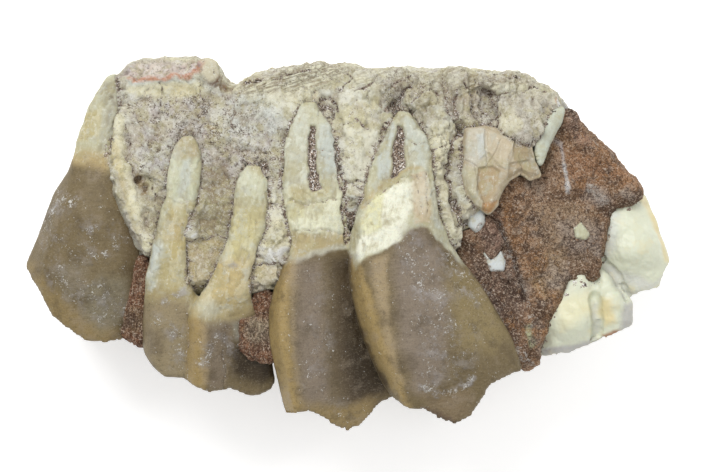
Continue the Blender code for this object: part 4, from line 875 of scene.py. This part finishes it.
SECOND_NECK = 0.14
SECOND_CROWN = (
    (-6.8, -3.3), (-5.6, -2), (-4.6, -1.5), (-3.8, -1.2), (-2.7, -0.8), (-1.5, -0.5), (0, -0.6), (0.2, -1),
    (0.5, -2.2), (0.9, -1.5), (1.5, -1), (2.5, -0.8), (2.9, -0.5), (3.5, 0), (4.1, 0.5), (4.8, 1.2),
    (5.8, 1.2), (6.5, 0.3), (7.3, -0.6), (8.6, -1.8), (10, -3.1), (11.5, -4.5), (13.1, -6.8), (14.6, -10),
    (14.6, -15.2), (-6.8, -15.2),
)
SECOND_PATCHES = (
    ((0.64, 0.65, 0.54), 0.3, 0.8, ((-4.5, 9.4), (-3.5, 10.3), (-3.1, 9), (-3.2, 6.3), (-3.2, 4.3),
        (-4.8, 4.2), (-4.8, 7.1))),
    (ROOT_BLUE, 0.2, 1.0, ((-2.4, 8.9), (-1.5, 9.1), (-1, 7.1), (-0.8, 4.9), (-2.2, 4.8), (-2.5, 7.1))),
    ((0.78, 0.78, 0.58), 0.4, 0.9, ((-4.8, 3.8), (-0.8, 3.8), (-0.6, 0.9), (-4.5, 0.9))),
    ((0.62, 0.58, 0.30), 0.25, 0.6, ((-4.6, 3.5), (-3.5, 3.7), (-3.5, 2), (-4.5, 1.7))),
    (ROOT_YELLOW, 0.25, 0.6, ((-4.5, 4.2), (-1.5, 4), (-1.8, 3.4), (-4.5, 3.2))),
    (ROOT_AMBER, 0.3, 0.7, ((-4.4, 0.6), (-0.4, 0.6), (-0.2, -0.3), (-2.5, -0.6), (-4.5, -1.4))),
    ((0.50, 0.48, 0.38), 0.15, 0.8, ((-4.9, -1.7), (-3.8, -1), (-2.5, -0.5), (-1.4, -0.2), (-0.2, -0.2),
        (-0.3, -0.5), (-1.5, -0.7), (-2.6, -1), (-3.8, -1.5), (-4.8, -2.1))),
    (ENAMEL_PINK, 0.8, 1.0, ((-4, -1.5), (-2.2, -1.4), (-1.8, -6.8), (-1.5, -12.2), (-3.5, -12.6),
        (-4.3, -7.5))),
    # These three dark patches are painted shade: the second molar's front lobe darkens to near black
    # towards its right, where its face sinks under the rear lobe's ridge.
    ((0.11, 0.08, 0.045), 0.7, 0.8, ((-1.7, -1.2), (0.2, -1.1), (0.8, -4.5), (1.7, -7.5), (3.1, -10.9),
        (1.7, -12.6), (-1.2, -12.5), (-1.8, -6.8))),
    ((0.075, 0.05, 0.025), 0.9, 1.0, ((-0.9, -1.5), (0.2, -1.1), (0.8, -4.5), (1.7, -7.5), (3.1, -10.9),
        (1.7, -12.3), (-0.2, -12.2), (-1.1, -7.5))),
    (ENAMEL_PAINTED_SHADE, 0.8, 1.0, ((-0.3, -4.5), (0.6, -5.2), (1.5, -7.9), (2.8, -10.8), (1.7, -11.7),
        (0.2, -11.4), (-0.5, -7.5))),
    (RIDGE_AMBER, 0.35, 0.95, ((-4.9, -1.8), (-4.3, -1.5), (-4.6, -3.7), (-4.7, -6.8), (-4.3, -10.6),
        (-3.7, -13.1), (-5.1, -13.4), (-6.3, -8.3), (-6.5, -4.5))),
    # Painted highlight along this ridge's crest.
    (ENAMEL_CREST_HIGHLIGHT, 0.2, 0.35, ((-4.4, -2), (-4, -1.8), (-4.2, -4.5), (-4.2, -7.9), (-3.6, -12.2), (-4, -12.2),
        (-4.5, -8.3), (-4.6, -4.5))),
    (RIDGE_AMBER, 0.5, 0.5, ((-3.8, -12.3), (-0.8, -12.6), (2, -11.8), (1.2, -14.6), (-3.1, -14))),
    (ROOT_BLUE, 0.15, 1.0, ((2.6, 9.2), (3.5, 9.2), (3.1, 7.1), (3, 4.8), (2.2, 4.6), (2.2, 7.5))),
    (ROOT_BLUE, 0.25, 0.7, ((4, 9.7), (5.5, 9.1), (6, 7.1), (5.8, 5.7), (4.5, 5.8), (4.2, 7.8))),
    ((0.76, 0.74, 0.46), 0.2, 1.0, ((1.4, 3.5), (2.9, 4), (3.5, 4.5), (3.2, 2.8), (2.6, 0.5), (1.2, 0.2),
        (0.9, 1.5))),
    ((0.86, 0.86, 0.70), 0.2, 1.0, ((2.6, 4), (4.3, 4.8), (4.8, 4.5), (4.7, 2.5), (4, 0.5), (2.8, -0.6),
        (1.2, -0.9), (0.6, -1.7), (0.3, -0.8), (0.9, 0.5), (2.3, 0.8))),
    ((0.58, 0.47, 0.32), 0.15, 0.9, ((4.7, 5.1), (5.8, 5.4), (6.2, 3.2), (6.2, 1.5), (4.8, 1.5))),
    (ROOT_BLUE, 0.15, 0.9, ((6, 4.9), (6.5, 4.3), (7.2, 2.1), (7.5, 0.8), (6.5, 1.1), (6.2, 2.8))),
    (ROOT_AMBER, 0.16, 0.75, ((0.8, 2.6), (1.7, 3.8), (3.1, 4.9), (4.5, 5.8), (5.5, 5.8), (5.6, 5.6),
        (4.5, 5.5), (3.3, 4.6), (2, 3.6), (1.2, 2.5))),
    (ENAMEL_PINK, 0.7, 1.0, ((3.2, -1.2), (4.2, 0.3), (5.4, 1.1), (6.9, -0.6), (7.5, -4.5), (7.2, -10.6),
        (5.1, -11.5), (3.7, -7.5))),
    (RIDGE_AMBER, 0.3, 0.95, ((0.2, -1.1), (0.8, -2), (1.7, -3.7), (2.2, -6), (3.2, -8.3), (4.2, -11.1),
        (4.8, -13.1), (3.8, -12.2), (1.8, -8.3), (0.5, -4.5))),
    # Painted highlight along this ridge's crest.
    (ENAMEL_CREST_HIGHLIGHT, 0.3, 0.7, ((1.5, -1.2), (2.8, -1.1), (2.8, -4.5), (3.4, -7.9), (4.2, -10.9), (3.8, -10.6),
        (2.9, -8.3), (2.2, -5.2))),
    (ENAMEL_OLIVE, 0.9, 0.9, ((7.4, -2.3), (8.9, -2.3), (10.9, -4.8), (11.8, -7.2), (10.8, -8.5),
        (8.3, -7.9))),
    ((0.24, 0.175, 0.10), 0.6, 0.7, ((5.4, -11.5), (9.2, -11.1), (9.2, -12.9), (7.8, -14.2), (6.2, -13.1))),
    ((0.13, 0.08, 0.05), 0.2, 0.8, ((5.4, -12.5), (6.6, -12.8), (7.8, -13.5), (8.6, -14.2), (6.9, -14.3),
        (5.4, -13.1))),
)
SECOND_LINES = (
    (0.16, 0.25, 0.75, ((-1.2, 9.2), (-1.2, 7.5), (-1, 5.9), (-0.6, 4), (-0.5, 1.3), (-0.3, -0.2))),
    (0.12, 0.14, 0.52, ((-4.5, 3.2), (-3.4, 2.9), (-2.5, 3), (-0.8, 3.3))),
    (0.11, 0.12, 0.52, ((-4.3, 0.8), (-2.3, 1), (-0.4, 0.5))),
    (0.10, 0.12, 0.48, ((-2.4, 7.1), (-1.5, 6.9), (-1, 7.1))),
    (0.10, 0.12, 0.48, ((4.2, 7.8), (5.1, 7.4), (5.9, 7.5))),
    (0.10, 0.12, 0.50, ((1.2, 2.8), (2.6, 3.9), (3.8, 4.8), (4.8, 4.9))),
    (0.09, 0.08, 0.50, ((5.2, 5.1), (5.2, 3.6), (5.5, 2.2))),
    (0.09, 0.08, 0.50, ((5.8, 5.2), (5.9, 3.6), (5.9, 2.2))),
    (0.09, 0.08, 0.35, ((0.8, 1.5), (1.3, 1.7), (1.8, 1.1))),
)
SECOND_SLITS = (
    (0.45, ((-3, 8.9), (-2.7, 8.8), (-2.6, 7.1), (-2.5, 5.7), (-2.2, 4), (-2.8, 3.9), (-3.2, 4.9),
        (-3.3, 6.3), (-3.2, 7.8))),
    (0.45, ((3.6, 8.9), (4.1, 8.8), (4.2, 7.1), (4.2, 5.7), (3.5, 4.9), (3.2, 4.9), (3.2, 7.1))),
)
SECOND_CHALK = (
    (1.5, 0.25, ((-2.5, -2.9), (-2.6, -6.8))),
    (1.4, 0.4, ((-2.2, -7.5), (-2.9, -10.9))),
    (2.0, 0.6, ((4.6, -0.2), (5.1, -1.7), (5.7, -3.8))),
    (2.3, 0.55, ((6.2, -3.8), (6.8, -6.2), (6.8, -8.3))),
    (1.6, 0.5, ((6.6, -8.3), (6.2, -10.5))),
    (0.45, 0.9, ((5.5, -11.1), (6.8, -11.6), (7.8, -11.4), (8.6, -10.9), (9.4, -10.4))),
    (1.4, 0.65, ((7.2, -1.2), (8.3, -2.8), (9.5, -4.2))),
    (2.0, 0.4, ((8.6, -6.8), (8.3, -9.2))),
    (0.4, 0.7, ((0, -1.4), (0.5, -1.1))),
    (1.2, 0.3, ((-1.4, -12.8), (0, -13.1))),
)
dress_tooth(
    "second_molar_fossil", "second_molar", ("jawbone", "matrix_block", "matrix_wedge_middle"),
    SECOND_CROWN, SECOND_NECK, SECOND_PATCHES, SECOND_LINES, SECOND_SLITS, SECOND_CHALK,
)

# The third molar had not cut yet. It is cream enamel throughout with a yellow rim, its underside and lower
# facets painted grey as shade, and it still lies half in its sandstone.
MOLAR_CREAM = (0.66, 0.68, 0.53)
MOLAR_YELLOW = (0.70, 0.59, 0.30)
MOLAR_GREY_AND_SHADE = (0.42, 0.41, 0.40)
MOLAR_RUST = (0.30, 0.15, 0.08)


def cream_enamel():
    """Smooth cream enamel with faint yellow clouds."""
    finish = Finish("cream enamel", Specular_IOR_Level=0.5, Subsurface_Weight=0.12)
    finish.shader.inputs["Subsurface Radius"].default_value = (0.8 * MM, 0.6 * MM, 0.4 * MM)
    finish.shader.inputs["Subsurface Scale"].default_value = 1.0
    finish.start()
    finish.lay(MOLAR_YELLOW, finish.noise(1.2, 31, 3.0).ramp(0.54, 0.75) * 0.35)
    finish.lay(MOLAR_GREY_AND_SHADE, finish.noise(0.6, 32, 4.0, 0.6).ramp(0.58, 0.78) * 0.25)
    seam = (finish.field("seam") + (finish.noise(0.4, 33, 3.0, 0.7) - 0.5) * 1.2).ramp(0.45, 0.65)
    seam_grit(finish, seam, 5)
    return finish.done(0.32 + finish.noise(0.7, 34) * 0.2, finish.noise(0.3, 35, 3.0), 0.15)


third = dense_copy("third_molar_fossil", "third_molar", TOOTH_CUBE, TOOTH_SOFTENING)
skin = Skin(third, 0.1)
near = skin.gap_to(("matrix_block", "jawbone"))[0]
skin.tint[:] = MOLAR_CREAM
# Painted shade: grey on the parts that face down.
skin.paint(MOLAR_GREY_AND_SHADE, step(0.3, -0.3, skin.normal[:, 2]) * 0.6)
MOLAR_PATCHES = (
    (MOLAR_YELLOW, 0.25, 0.9, ((22.4, 3.5), (23.1, 3.8), (24, 2.2), (24.6, 0.2), (25.1, -1.5),
        (24.6, -1.7), (23.8, 0.2), (23.1, 2.2))),
    ((0.66, 0.68, 0.60), 0.3, 0.7, ((23.8, 2.2), (24.5, 0.3), (25.1, -1.1), (24.8, -1.5), (24.2, 0.3))),
    # Painted shade: grey along the groove and the lower facet.
    (MOLAR_GREY_AND_SHADE, 0.35, 0.6, ((19.5, -1.5), (20.5, -2), (21.5, -3.7), (23.2, -3.7), (24, -4),
        (22.3, -4.5), (20.8, -4.2))),
    (MOLAR_RUST, 0.12, 0.9, ((23.1, -4), (23.7, -3.8), (24.2, -4), (24, -4.5), (23.2, -4.5))),
    (MOLAR_YELLOW, 0.3, 0.8, ((19.4, -4.3), (20.1, -4.5), (20.5, -6.2), (19.7, -6.5), (19.2, -5.4))),
    # Painted shade: grey in the groove and along the bottom edge.
    (MOLAR_GREY_AND_SHADE, 0.3, 0.5, ((18.7, -4.5), (19.2, -4.5), (19.3, -7.2), (18.8, -7.4))),
    (MOLAR_GREY_AND_SHADE, 0.2, 0.85, ((14.8, -8.3), (16.6, -8), (19.1, -7.5), (19.7, -8.2), (18.2, -9.1),
        (15.2, -9.5))),
    (MOLAR_RUST, 0.15, 0.9, ((19.5, -7.2), (20.3, -6.8), (20.9, -6.8), (20.5, -7.7), (19.7, -7.9))),
    # Painted shade: grey on the lower facet.
    (MOLAR_GREY_AND_SHADE, 0.3, 0.8, ((21.1, -4.8), (22.3, -4.5), (22, -6.8), (20.8, -6.9))),
    ((0.56, 0.58, 0.55), 0.35, 0.6, ((20.2, 2.2), (20.8, 2.3), (20.6, -0.6), (19.7, -1.5), (19.5, -0.2))),
    ((0.62, 0.62, 0.58), 0.3, 0.7, ((20.2, -2), (22.3, -2.6), (23.5, -3.2), (24.2, -2.6), (23.5, -3.8),
        (21.5, -3.5))),
    ((0.75, 0.69, 0.42), 0.5, 0.5, ((15.8, -4.5), (18.5, -3.7), (18.6, -5.4), (16.2, -6.8))),
)
for colour, softness, share, outline in MOLAR_PATCHES:
    skin.paint(colour, skin.patch(outline, softness) * share)
MOLAR_BULGES = (((22, -0.3), 2.6, 0.7), ((17.1, -6.3), 1.9, 0.6), ((20.2, -4.5), 1.4, 0.5))
for centre, reach, height in MOLAR_BULGES:
    skin.push(height * step(reach, 0.0, np.hypot(*(skin.read - centre).T)) * skin.cheek)
skin.push(0.09 * skin.waves(1.2, 3) - 0.45 * skin.line(((18.9, -4.3), (19.1, -5.8), (19, -7.7)), 0.6))
skin.push(-0.35 * skin.line(((19.5, -1.5), (20.6, -2.5), (21.4, -4.2)), 0.5))
skin.keep(seam=step(0.5, 0.28, near) * 0.48)
third.data.materials.append(cream_enamel())
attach(third, "root")
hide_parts("third_molar")

# The sandstone block is hardened red-brown sand that filled the jaw behind the second molar, grain against
# grain, darker and lighter in blots, with a paler skin where it met the bone.
STONE_CUBE = 0.22
STONE_SOFTENING = 3
STONE_RAGGED = 0.12
BIT_REACH = 0.95
STONE_RED = (0.37, 0.215, 0.115)
STONE_DARK = (0.085, 0.050, 0.035)
STONE_PURPLE = (0.28, 0.19, 0.155)
STONE_ORANGE = (0.42, 0.21, 0.08)
STONE_PALE = (0.60, 0.55, 0.49)


def sandstone(name, fibre=0.0):
    """Fine sand: dark, brown and pale grains over the painted colour, drawn out where it is fibrous."""
    finish = Finish(name, Specular_IOR_Level=0.3)
    finish.start()
    blots = finish.noise(1.8, 41, 6.0, 0.72)
    finish.lay(STONE_DARK, blots.ramp(0.48, 0.60) * 0.7)
    finish.lay((0.47, 0.38, 0.30), blots.ramp(0.44, 0.33) * 0.6)
    finish.lay(STONE_ORANGE, finish.noise(1.6, 42, 6.0, 0.75).ramp(0.55, 0.66) * 0.6)
    strands = finish.streaks(0.12, 6.0, 84.0, 47)
    finish.lay((0.46, 0.31, 0.19), strands.ramp(0.52, 0.66) * fibre)
    finish.lay((0.12, 0.04, 0.02), strands.ramp(0.46, 0.34) * fibre)
    grain = finish.grains(0.08, 43) * 0.45 + finish.noise(0.24, 48, 5.0, 0.8) * 1.2 - 0.33
    finish.lay((0.06, 0.035, 0.025), grain.ramp(0.48, 0.30) * 0.72)
    finish.lay((0.60, 0.47, 0.35), grain.ramp(0.56, 0.74) * 0.75)
    sparkle = grain + finish.grains(0.07, 49) * 0.12
    finish.lay((0.76, 0.72, 0.68), sparkle.ramp(0.84, 0.94) * 0.7)
    crust = finish.field("crust") + (finish.noise(0.3, 44, 5.0, 0.8) - 0.5) * 2.0 + (grain - 0.5) * 0.4
    crust = crust.ramp(0.55, 0.80)
    finish.lay(STONE_PALE, crust * 0.8)
    height = grain * 0.25 + finish.noise(0.5, 45, 4.0, 0.7) * 0.4 + strands * fibre * 0.4 + crust * 0.06
    return finish.done(0.75 + finish.noise(0.4, 46) * 0.2, height, 0.8)


red_sandstone = sandstone("red sandstone")
block = dense_copy("matrix_block_fossil", "matrix_block", STONE_CUBE, STONE_SOFTENING)
skin = Skin(block, STONE_RAGGED)
snap = skin.close_on(BIT_NODES[:2], BIT_REACH)
snap = np.maximum(snap, skin.close_on(ROOT_NODES + BIT_NODES + ("jawbone",), SOCKET_REACH))
gap = skin.gap_to(ROOT_NODES + ("jawbone",))[0]
flake, flake_edge = skin.flakes(2.4, 5)
relief = 0.25 * skin.waves(1.8, 1) + 0.12 * skin.waves(0.6, 2) - 0.18 * skin.creases(1.8, 3)
skin.push((relief + 0.22 * (flake - 0.5) - 0.10 * flake_edge) * (1 - snap))
skin.tint[:] = STONE_RED
STONE_PATCHES = (
    ((0.50, 0.37, 0.33), 0.5, 0.8, ((16.5, 10), (17.5, 9.8), (18.9, 8), (18.6, 6.9), (17.5, 7.8),
        (16.8, 8.9))),
    ((0.29, 0.19, 0.125), 0.7, 0.6, ((14.3, 7.8), (15.8, 8.9), (16.2, 5.5), (15.8, 2.8), (13.8, 3.2),
        (13.1, 4.8))),
    ((0.40, 0.21, 0.11), 0.6, 0.7, ((16.6, 7.1), (18.9, 7.1), (21.2, 5.5), (19.7, 4.6), (18, 4),
        (16.8, 4.3))),
    ((0.42, 0.30, 0.19), 0.7, 0.7, ((13.8, 2.8), (17.1, 3.2), (19.5, 1.4), (19.2, -1.5), (17.1, -2),
        (14.6, -0.3))),
    ((0.36, 0.20, 0.13), 0.5, 0.8, ((9.8, 2.3), (11.7, 2.8), (12.2, 0.8), (11.1, -0.6), (10, 0.5))),
    (STONE_PURPLE, 0.6, 0.6, ((10, 1.3), (11.5, 1.3), (12.7, -1.4), (13.7, -4.5), (13.1, -7.9),
        (11.2, -6), (9.7, -2.9))),
    (STONE_DARK, 0.5, 0.6, ((18.9, 3.5), (22.5, 4.2), (22.8, 3.2), (21.8, 2.3), (19.7, 2), (18.9, 2.5))),
    (STONE_DARK, 0.5, 0.3, ((17.7, 0.5), (19.5, 0.8), (19.2, -1.5), (17.7, -1.5))),
    ((0.56, 0.39, 0.21), 0.3, 0.7, ((14.3, -0.9), (16.6, -0.6), (16.9, -3.7), (15.1, -4.5), (13.8, -2.9))),
    ((0.50, 0.27, 0.14), 0.4, 0.6, ((19.2, 7.8), (21.2, 6), (22.3, 4.3), (21.5, 4), (20.2, 5.7),
        (18.8, 7.1))),
    (STONE_DARK, 0.4, 0.5, ((11.9, -1.5), (13.1, -2.9), (13.4, -6.8), (12.5, -6), (11.7, -3.7))),
    (STONE_DARK, 0.5, 0.7, ((7.8, 2.3), (8.9, 1.2), (10, -1.1), (11.7, -4.2), (13.2, -7.5), (12.6, -8.3),
        (10.8, -4.5), (8.9, -1.5))),
    (STONE_ORANGE, 0.4, 0.5, ((16.6, 10), (18, 9.1), (19.7, 7.7), (21.2, 5.7), (20, 5.5), (18, 7.1),
        (16.9, 8.6))),
    (STONE_ORANGE, 0.3, 0.7, ((11.5, 3.1), (12.6, 2.8), (12.8, 1.7), (11.8, 1.8))),
    (STONE_ORANGE, 0.3, 0.6, ((12.3, 0.8), (13.2, 0.3), (12.9, -0.6), (12.3, -0.3))),
    (STONE_ORANGE, 0.35, 0.8, ((14, -0.8), (15.2, -1.1), (15.2, -2.3), (14.2, -2.2))),
    (STONE_PALE, 0.35, 0.6, ((15, -2.9), (16.2, -2.8), (16.6, -3.5), (15.5, -4))),
    (STONE_ORANGE, 0.3, 0.6, ((15.2, -3.5), (16.3, -3.7), (16, -4.5), (15.2, -4.3))),
    (STONE_DARK, 0.6, 0.45, ((16.2, -0.3), (19.4, 0.2), (19.2, -2.9), (16.9, -4.2), (15.5, -2.6))),
    ((0.60, 0.52, 0.46), 0.35, 0.6, ((18.2, 4.3), (19.5, 4.2), (20.2, 3.1), (19.1, 2.7), (18, 3.3))),
    ((0.46, 0.41, 0.37), 0.5, 0.5, ((15.8, 1.5), (18, 1.8), (19.5, 1.2), (19.2, -0.6), (17.1, -0.8))),
    ((0.58, 0.62, 0.38), 0.12, 0.9, ((13.5, -6.5), (13.9, -6.3), (14.3, -8), (13.8, -8.2))),
)
for colour, softness, share, outline in STONE_PATCHES:
    skin.paint(colour, skin.patch(outline, softness) * share)
skin.paint(STONE_PALE, step(0.15, 0.6, skin.waves(1.4, 8)) * 0.35)
skin.paint(STONE_DARK, step(0.1, 0.6, skin.waves(1.7, 9)) * 0.35)
STONE_STROKES = (
    ((0.62, 0.57, 0.56), 0.20, 0.75, ((16, 8.9), (16.3, 7.7), (16.5, 5.9))),
    ((0.78, 0.77, 0.76), 0.24, 0.95, ((16.5, 5.9), (16.7, 4.9), (16.8, 3.8))),
)
for colour, width, share, line in STONE_STROKES:
    skin.paint(colour, skin.line(line, width) * share)
crust = step(0.5, 0.25, gap) * 0.35
STONE_CRUSTS = (
    (0.60, 0.52, ((11.5, 1.3), (12.2, 0), (12.8, -1.4), (13.2, -2.5), (13.5, -3.7), (13.8, -5.2),
        (14, -6.4))),
    (0.90, 0.62, ((18.5, 4.2), (19.5, 3.2))),
    (0.50, 0.55, ((11.8, -0.3), (12.5, -1.5), (13.1, -2.8))),
    (0.50, 0.42, ((19.2, 2.1), (19.7, 0.8), (19.4, -0.6))),
    (0.45, 0.50, ((6.9, 0), (8.1, -1.1), (9.2, -2.2))),
    (0.35, 0.50, ((9.2, -2.2), (10.8, -3.8), (11.8, -5.8), (12.6, -7.8))),
    (0.60, 0.65, ((12, -7.1), (12.9, -8.3), (13.7, -9.2), (14.5, -9.7))),
)
for width, share, line in STONE_CRUSTS:
    crust = np.maximum(crust, skin.line(line, width) * share)
suture = skin.line(((11.4, 1.5), (12.2, -0.2), (12.9, -2), (13.4, -4.5)), 0.30)
skin.push(-0.25 * suture)
skin.paint((0.04, 0.025, 0.02), suture * 0.8)
skin.keep(crust=crust)
block.data.materials.append(red_sandstone)
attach(block, "root")
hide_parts("matrix_block")

# The two wedges of the same sandstone between the crowns are fibrous, rusty at their rims and paler in the
# middle. They fill the room between the teeth, to whose sides they are cemented.
WEDGE_CUBE = 0.16
WEDGE_SOFTENING = 5
RUST_RED = (0.25, 0.115, 0.06)
WEDGES = (
    ("matrix_wedge_front", (-16.5, -6), (0.20, 0.13, 0.07)),
    ("matrix_wedge_middle", (-7.1, -6.8), (0.50, 0.42, 0.29)),
)
rusty_sandstone = sandstone("rusty sandstone", 0.55)
for name, middle, tone in WEDGES:
    wedge = dense_copy(name + "_fossil", name, WEDGE_CUBE, WEDGE_SOFTENING)
    skin = Skin(wedge)
    snap = skin.close_on(("jawbone",) + ROOT_NODES, SOCKET_REACH)
    fibres = skin.waves(0.35, 4, 2, (1.0, 8.0, 1.0), math.radians(-8))
    skin.push((0.26 * skin.waves(1.2, 1) + 0.12 * skin.waves(0.5, 2) + 0.22 * fibres) * (1 - snap))
    skin.tint[:] = RUST_RED
    skin.paint(tone, step(1.5, 0.5, np.hypot(*(skin.read - middle).T)))
    skin.keep(crust=np.zeros(len(skin.at)))
    wedge.data.materials.append(rusty_sandstone)
    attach(wedge, "root")
    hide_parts(name)

# Broken bits cemented into the fossil: a tan piece of tooth with several broken faces and cracks, a thin
# pale sliver of enamel beside it, and three chips in the sandstone.
BIT_TAN = (0.50, 0.42, 0.29)
BIT_BROWN = (0.37, 0.29, 0.17)
BIT_SOFTENING = 2
BIT_RAGGED = 0.04
CRACK_WIDTH = 0.07
CRACK_DEPTH = 0.05
CRACK_BROWN = (0.20, 0.14, 0.09)
CHIP_STRETCH = 1.4

# Broken faces of the piece of tooth: colour, height and outline.
FRAGMENT_FACES = (
    ((0.58, 0.54, 0.44), 0.05, ((9.1, 8.6), (10.3, 8.6), (10.5, 7.1), (10.3, 5.8), (9.5, 5.5), (8.9, 6.3))),
    ((0.60, 0.62, 0.58), 0.10, ((9.6, 8.2), (10.2, 8.3), (10.3, 6.6), (9.8, 6.3))),
    ((0.58, 0.50, 0.36), 0.15, ((10.5, 8.5), (11.5, 8.1), (12.6, 7.6), (12.4, 6.8), (12, 5.5),
        (11.4, 5.8), (10.5, 6.9))),
    ((0.44, 0.33, 0.19), -0.2, ((9.8, 5.7), (10.9, 5.8), (11.5, 5.4), (11.1, 4), (10.4, 2.8), (9.7, 3.8))),
    ((0.52, 0.48, 0.34), 0.05, ((8.8, 5.8), (9.8, 5.7), (9.7, 4), (10.3, 2.6), (9.5, 3.1), (8.8, 4.6))),
    ((0.46, 0.25, 0.10), -0.1, ((10.2, 3), (11.2, 3.2), (10.8, 2.2), (10.2, 2.2))),
    (BIT_BROWN, -0.1, ((12.5, 7.6), (13.8, 7.4), (14, 6.5), (13.2, 5.8), (12.5, 6.3))),
    ((0.42, 0.33, 0.21), -0.2, ((12.2, 6), (13.8, 6.3), (14.8, 4.9), (13.5, 4.8), (12, 4.8))),
)
FRAGMENT_CRACKS = (
    ((10.3, 8.5), (10.3, 7.1), (10.5, 5.8)), ((11.5, 7.8), (11.1, 6.9), (10.5, 6)),
    ((10.5, 5.9), (10, 5.5), (9.8, 4.8)), ((12.6, 7.5), (12.2, 6.6), (11.9, 5.5)),
    ((12.9, 6.6), (13.2, 5.7), (13.1, 4.9)), ((9.5, 5.8), (9.8, 4.3), (10.3, 2.9)),
    ((8.9, 6.3), (9.7, 5.8)),
)

# The bits: node, slot, main and second colour, cube and swelling.
BITS = (
    ("tooth_fragment", "dentine", BIT_TAN, (0.44, 0.35, 0.23), 0.11, 0.14),
    ("enamel_plate", "white_enamel", (0.58, 0.62, 0.52), (0.50, 0.50, 0.38), 0.10, 0.19),
    ("enamel_chip_1", "white_enamel", (0.62, 0.66, 0.65), (0.55, 0.57, 0.55), 0.08, 0.14),
    ("enamel_chip_2", "white_enamel", (0.62, 0.66, 0.66), (0.55, 0.58, 0.58), 0.08, 0.05),
    ("enamel_chip_3", "white_enamel", (0.55, 0.55, 0.38), (0.46, 0.42, 0.28), 0.08, 0.05),
)
for name, slot, tone, other, cube, swell in BITS:
    bit = dense_copy(name + "_fossil", name, cube, BIT_SOFTENING)
    skin = Skin(bit, BIT_RAGGED)
    near = skin.gap_to(("jawbone", "matrix_block"))[0]
    skin.push(swell + 0.07 * skin.waves(0.9, 1))
    if name == "enamel_chip_1":
        lowest = skin.at[:, 1].min()
        skin.at[:, 1] = lowest + (skin.at[:, 1] - lowest) * CHIP_STRETCH
        skin.feel()
    skin.tint[:] = tone
    skin.paint(other, step(-0.1, 0.4, skin.waves(1.6, 2)) * 0.6)
    seam = step(0.45, 0.28, near) * 0.45
    if name == "tooth_fragment":
        for colour, height, outline in FRAGMENT_FACES:
            face = skin.patch(outline, 0.10)
            skin.paint(colour, face * 0.9)
            skin.push(height * face)
        for line in FRAGMENT_CRACKS:
            crack = skin.line(line, CRACK_WIDTH)
            skin.push(-CRACK_DEPTH * crack)
            skin.paint(CRACK_BROWN, crack * 0.4)
    skin.keep(crown=np.zeros(len(skin.at)), seam=seam, chalk=np.zeros(len(skin.at)))
    bit.data.materials.append(enamel)
    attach(bit, "root")
    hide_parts(name)

# A plain pale floor under the fossil, soft light from above and from behind the roots, and a camera that
# looks straight down on the cheek side.
FLOOR_HALF = 0.6
PAPER_GLOW = 0.42
VIEW_CENTRE = (0.31, 0.46)
VIEW_WIDTH = 54.5
VIEW_LEVEL = 12.0
CAMERA_HEIGHT = 420.0
SENSOR = 36.0
KEY_PLACE = (-0.12, 0.26, 0.36)
FILL_PLACE = (0.20, -0.05, 0.42)
WORLD_LIGHT = 0.50

bm = bmesh.new()
bmesh.ops.create_grid(bm, x_segments=1, y_segments=1, size=FLOOR_HALF)
mesh = bpy.data.meshes.new("floor")
bm.to_mesh(mesh)
bm.free()
floor = bpy.data.objects.new("floor", mesh)
bpy.context.scene.collection.objects.link(floor)
paper = Finish("pale paper", Roughness=0.9)
paper.shader.inputs["Base Color"].default_value = (0.9, 0.9, 0.9, 1.0)
paper.shader.inputs["Emission Color"].default_value = (1.0, 1.0, 1.0, 1.0)
paper.shader.inputs["Emission Strength"].default_value = PAPER_GLOW
mesh.materials.append(paper.material)


def area_light(name, place, size, power, target=(0.0, 0.0, 0.01)):
    """A square soft light at this place in metres, aimed at the target."""
    light = bpy.data.lights.new(name, "AREA")
    light.size = size
    light.energy = power
    lamp = bpy.data.objects.new(name, light)
    lamp.location = place
    lamp.rotation_euler = (Vector(target) - Vector(place)).to_track_quat("-Z", "Y").to_euler()
    bpy.context.scene.collection.objects.link(lamp)


area_light("key", KEY_PLACE, 0.22, 1.3)
area_light("fill", FILL_PLACE, 0.45, 0.6)
world = bpy.data.worlds.new("studio")
world.use_nodes = True
world.node_tree.nodes["Background"].inputs["Color"].default_value = (1.0, 1.0, 1.0, 1.0)
world.node_tree.nodes["Background"].inputs["Strength"].default_value = WORLD_LIGHT
bpy.context.scene.world = world
bpy.context.scene.view_settings.view_transform = "Standard"

camera = bpy.data.objects.new("camera", bpy.data.cameras.new("camera"))
camera.data.sensor_width = SENSOR
camera.data.lens = SENSOR * (CAMERA_HEIGHT - VIEW_LEVEL) / VIEW_WIDTH
camera.data.clip_start = 0.01
camera.location = Vector((*VIEW_CENTRE, CAMERA_HEIGHT)) * MM
bpy.context.scene.collection.objects.link(camera)
bpy.context.scene.camera = camera
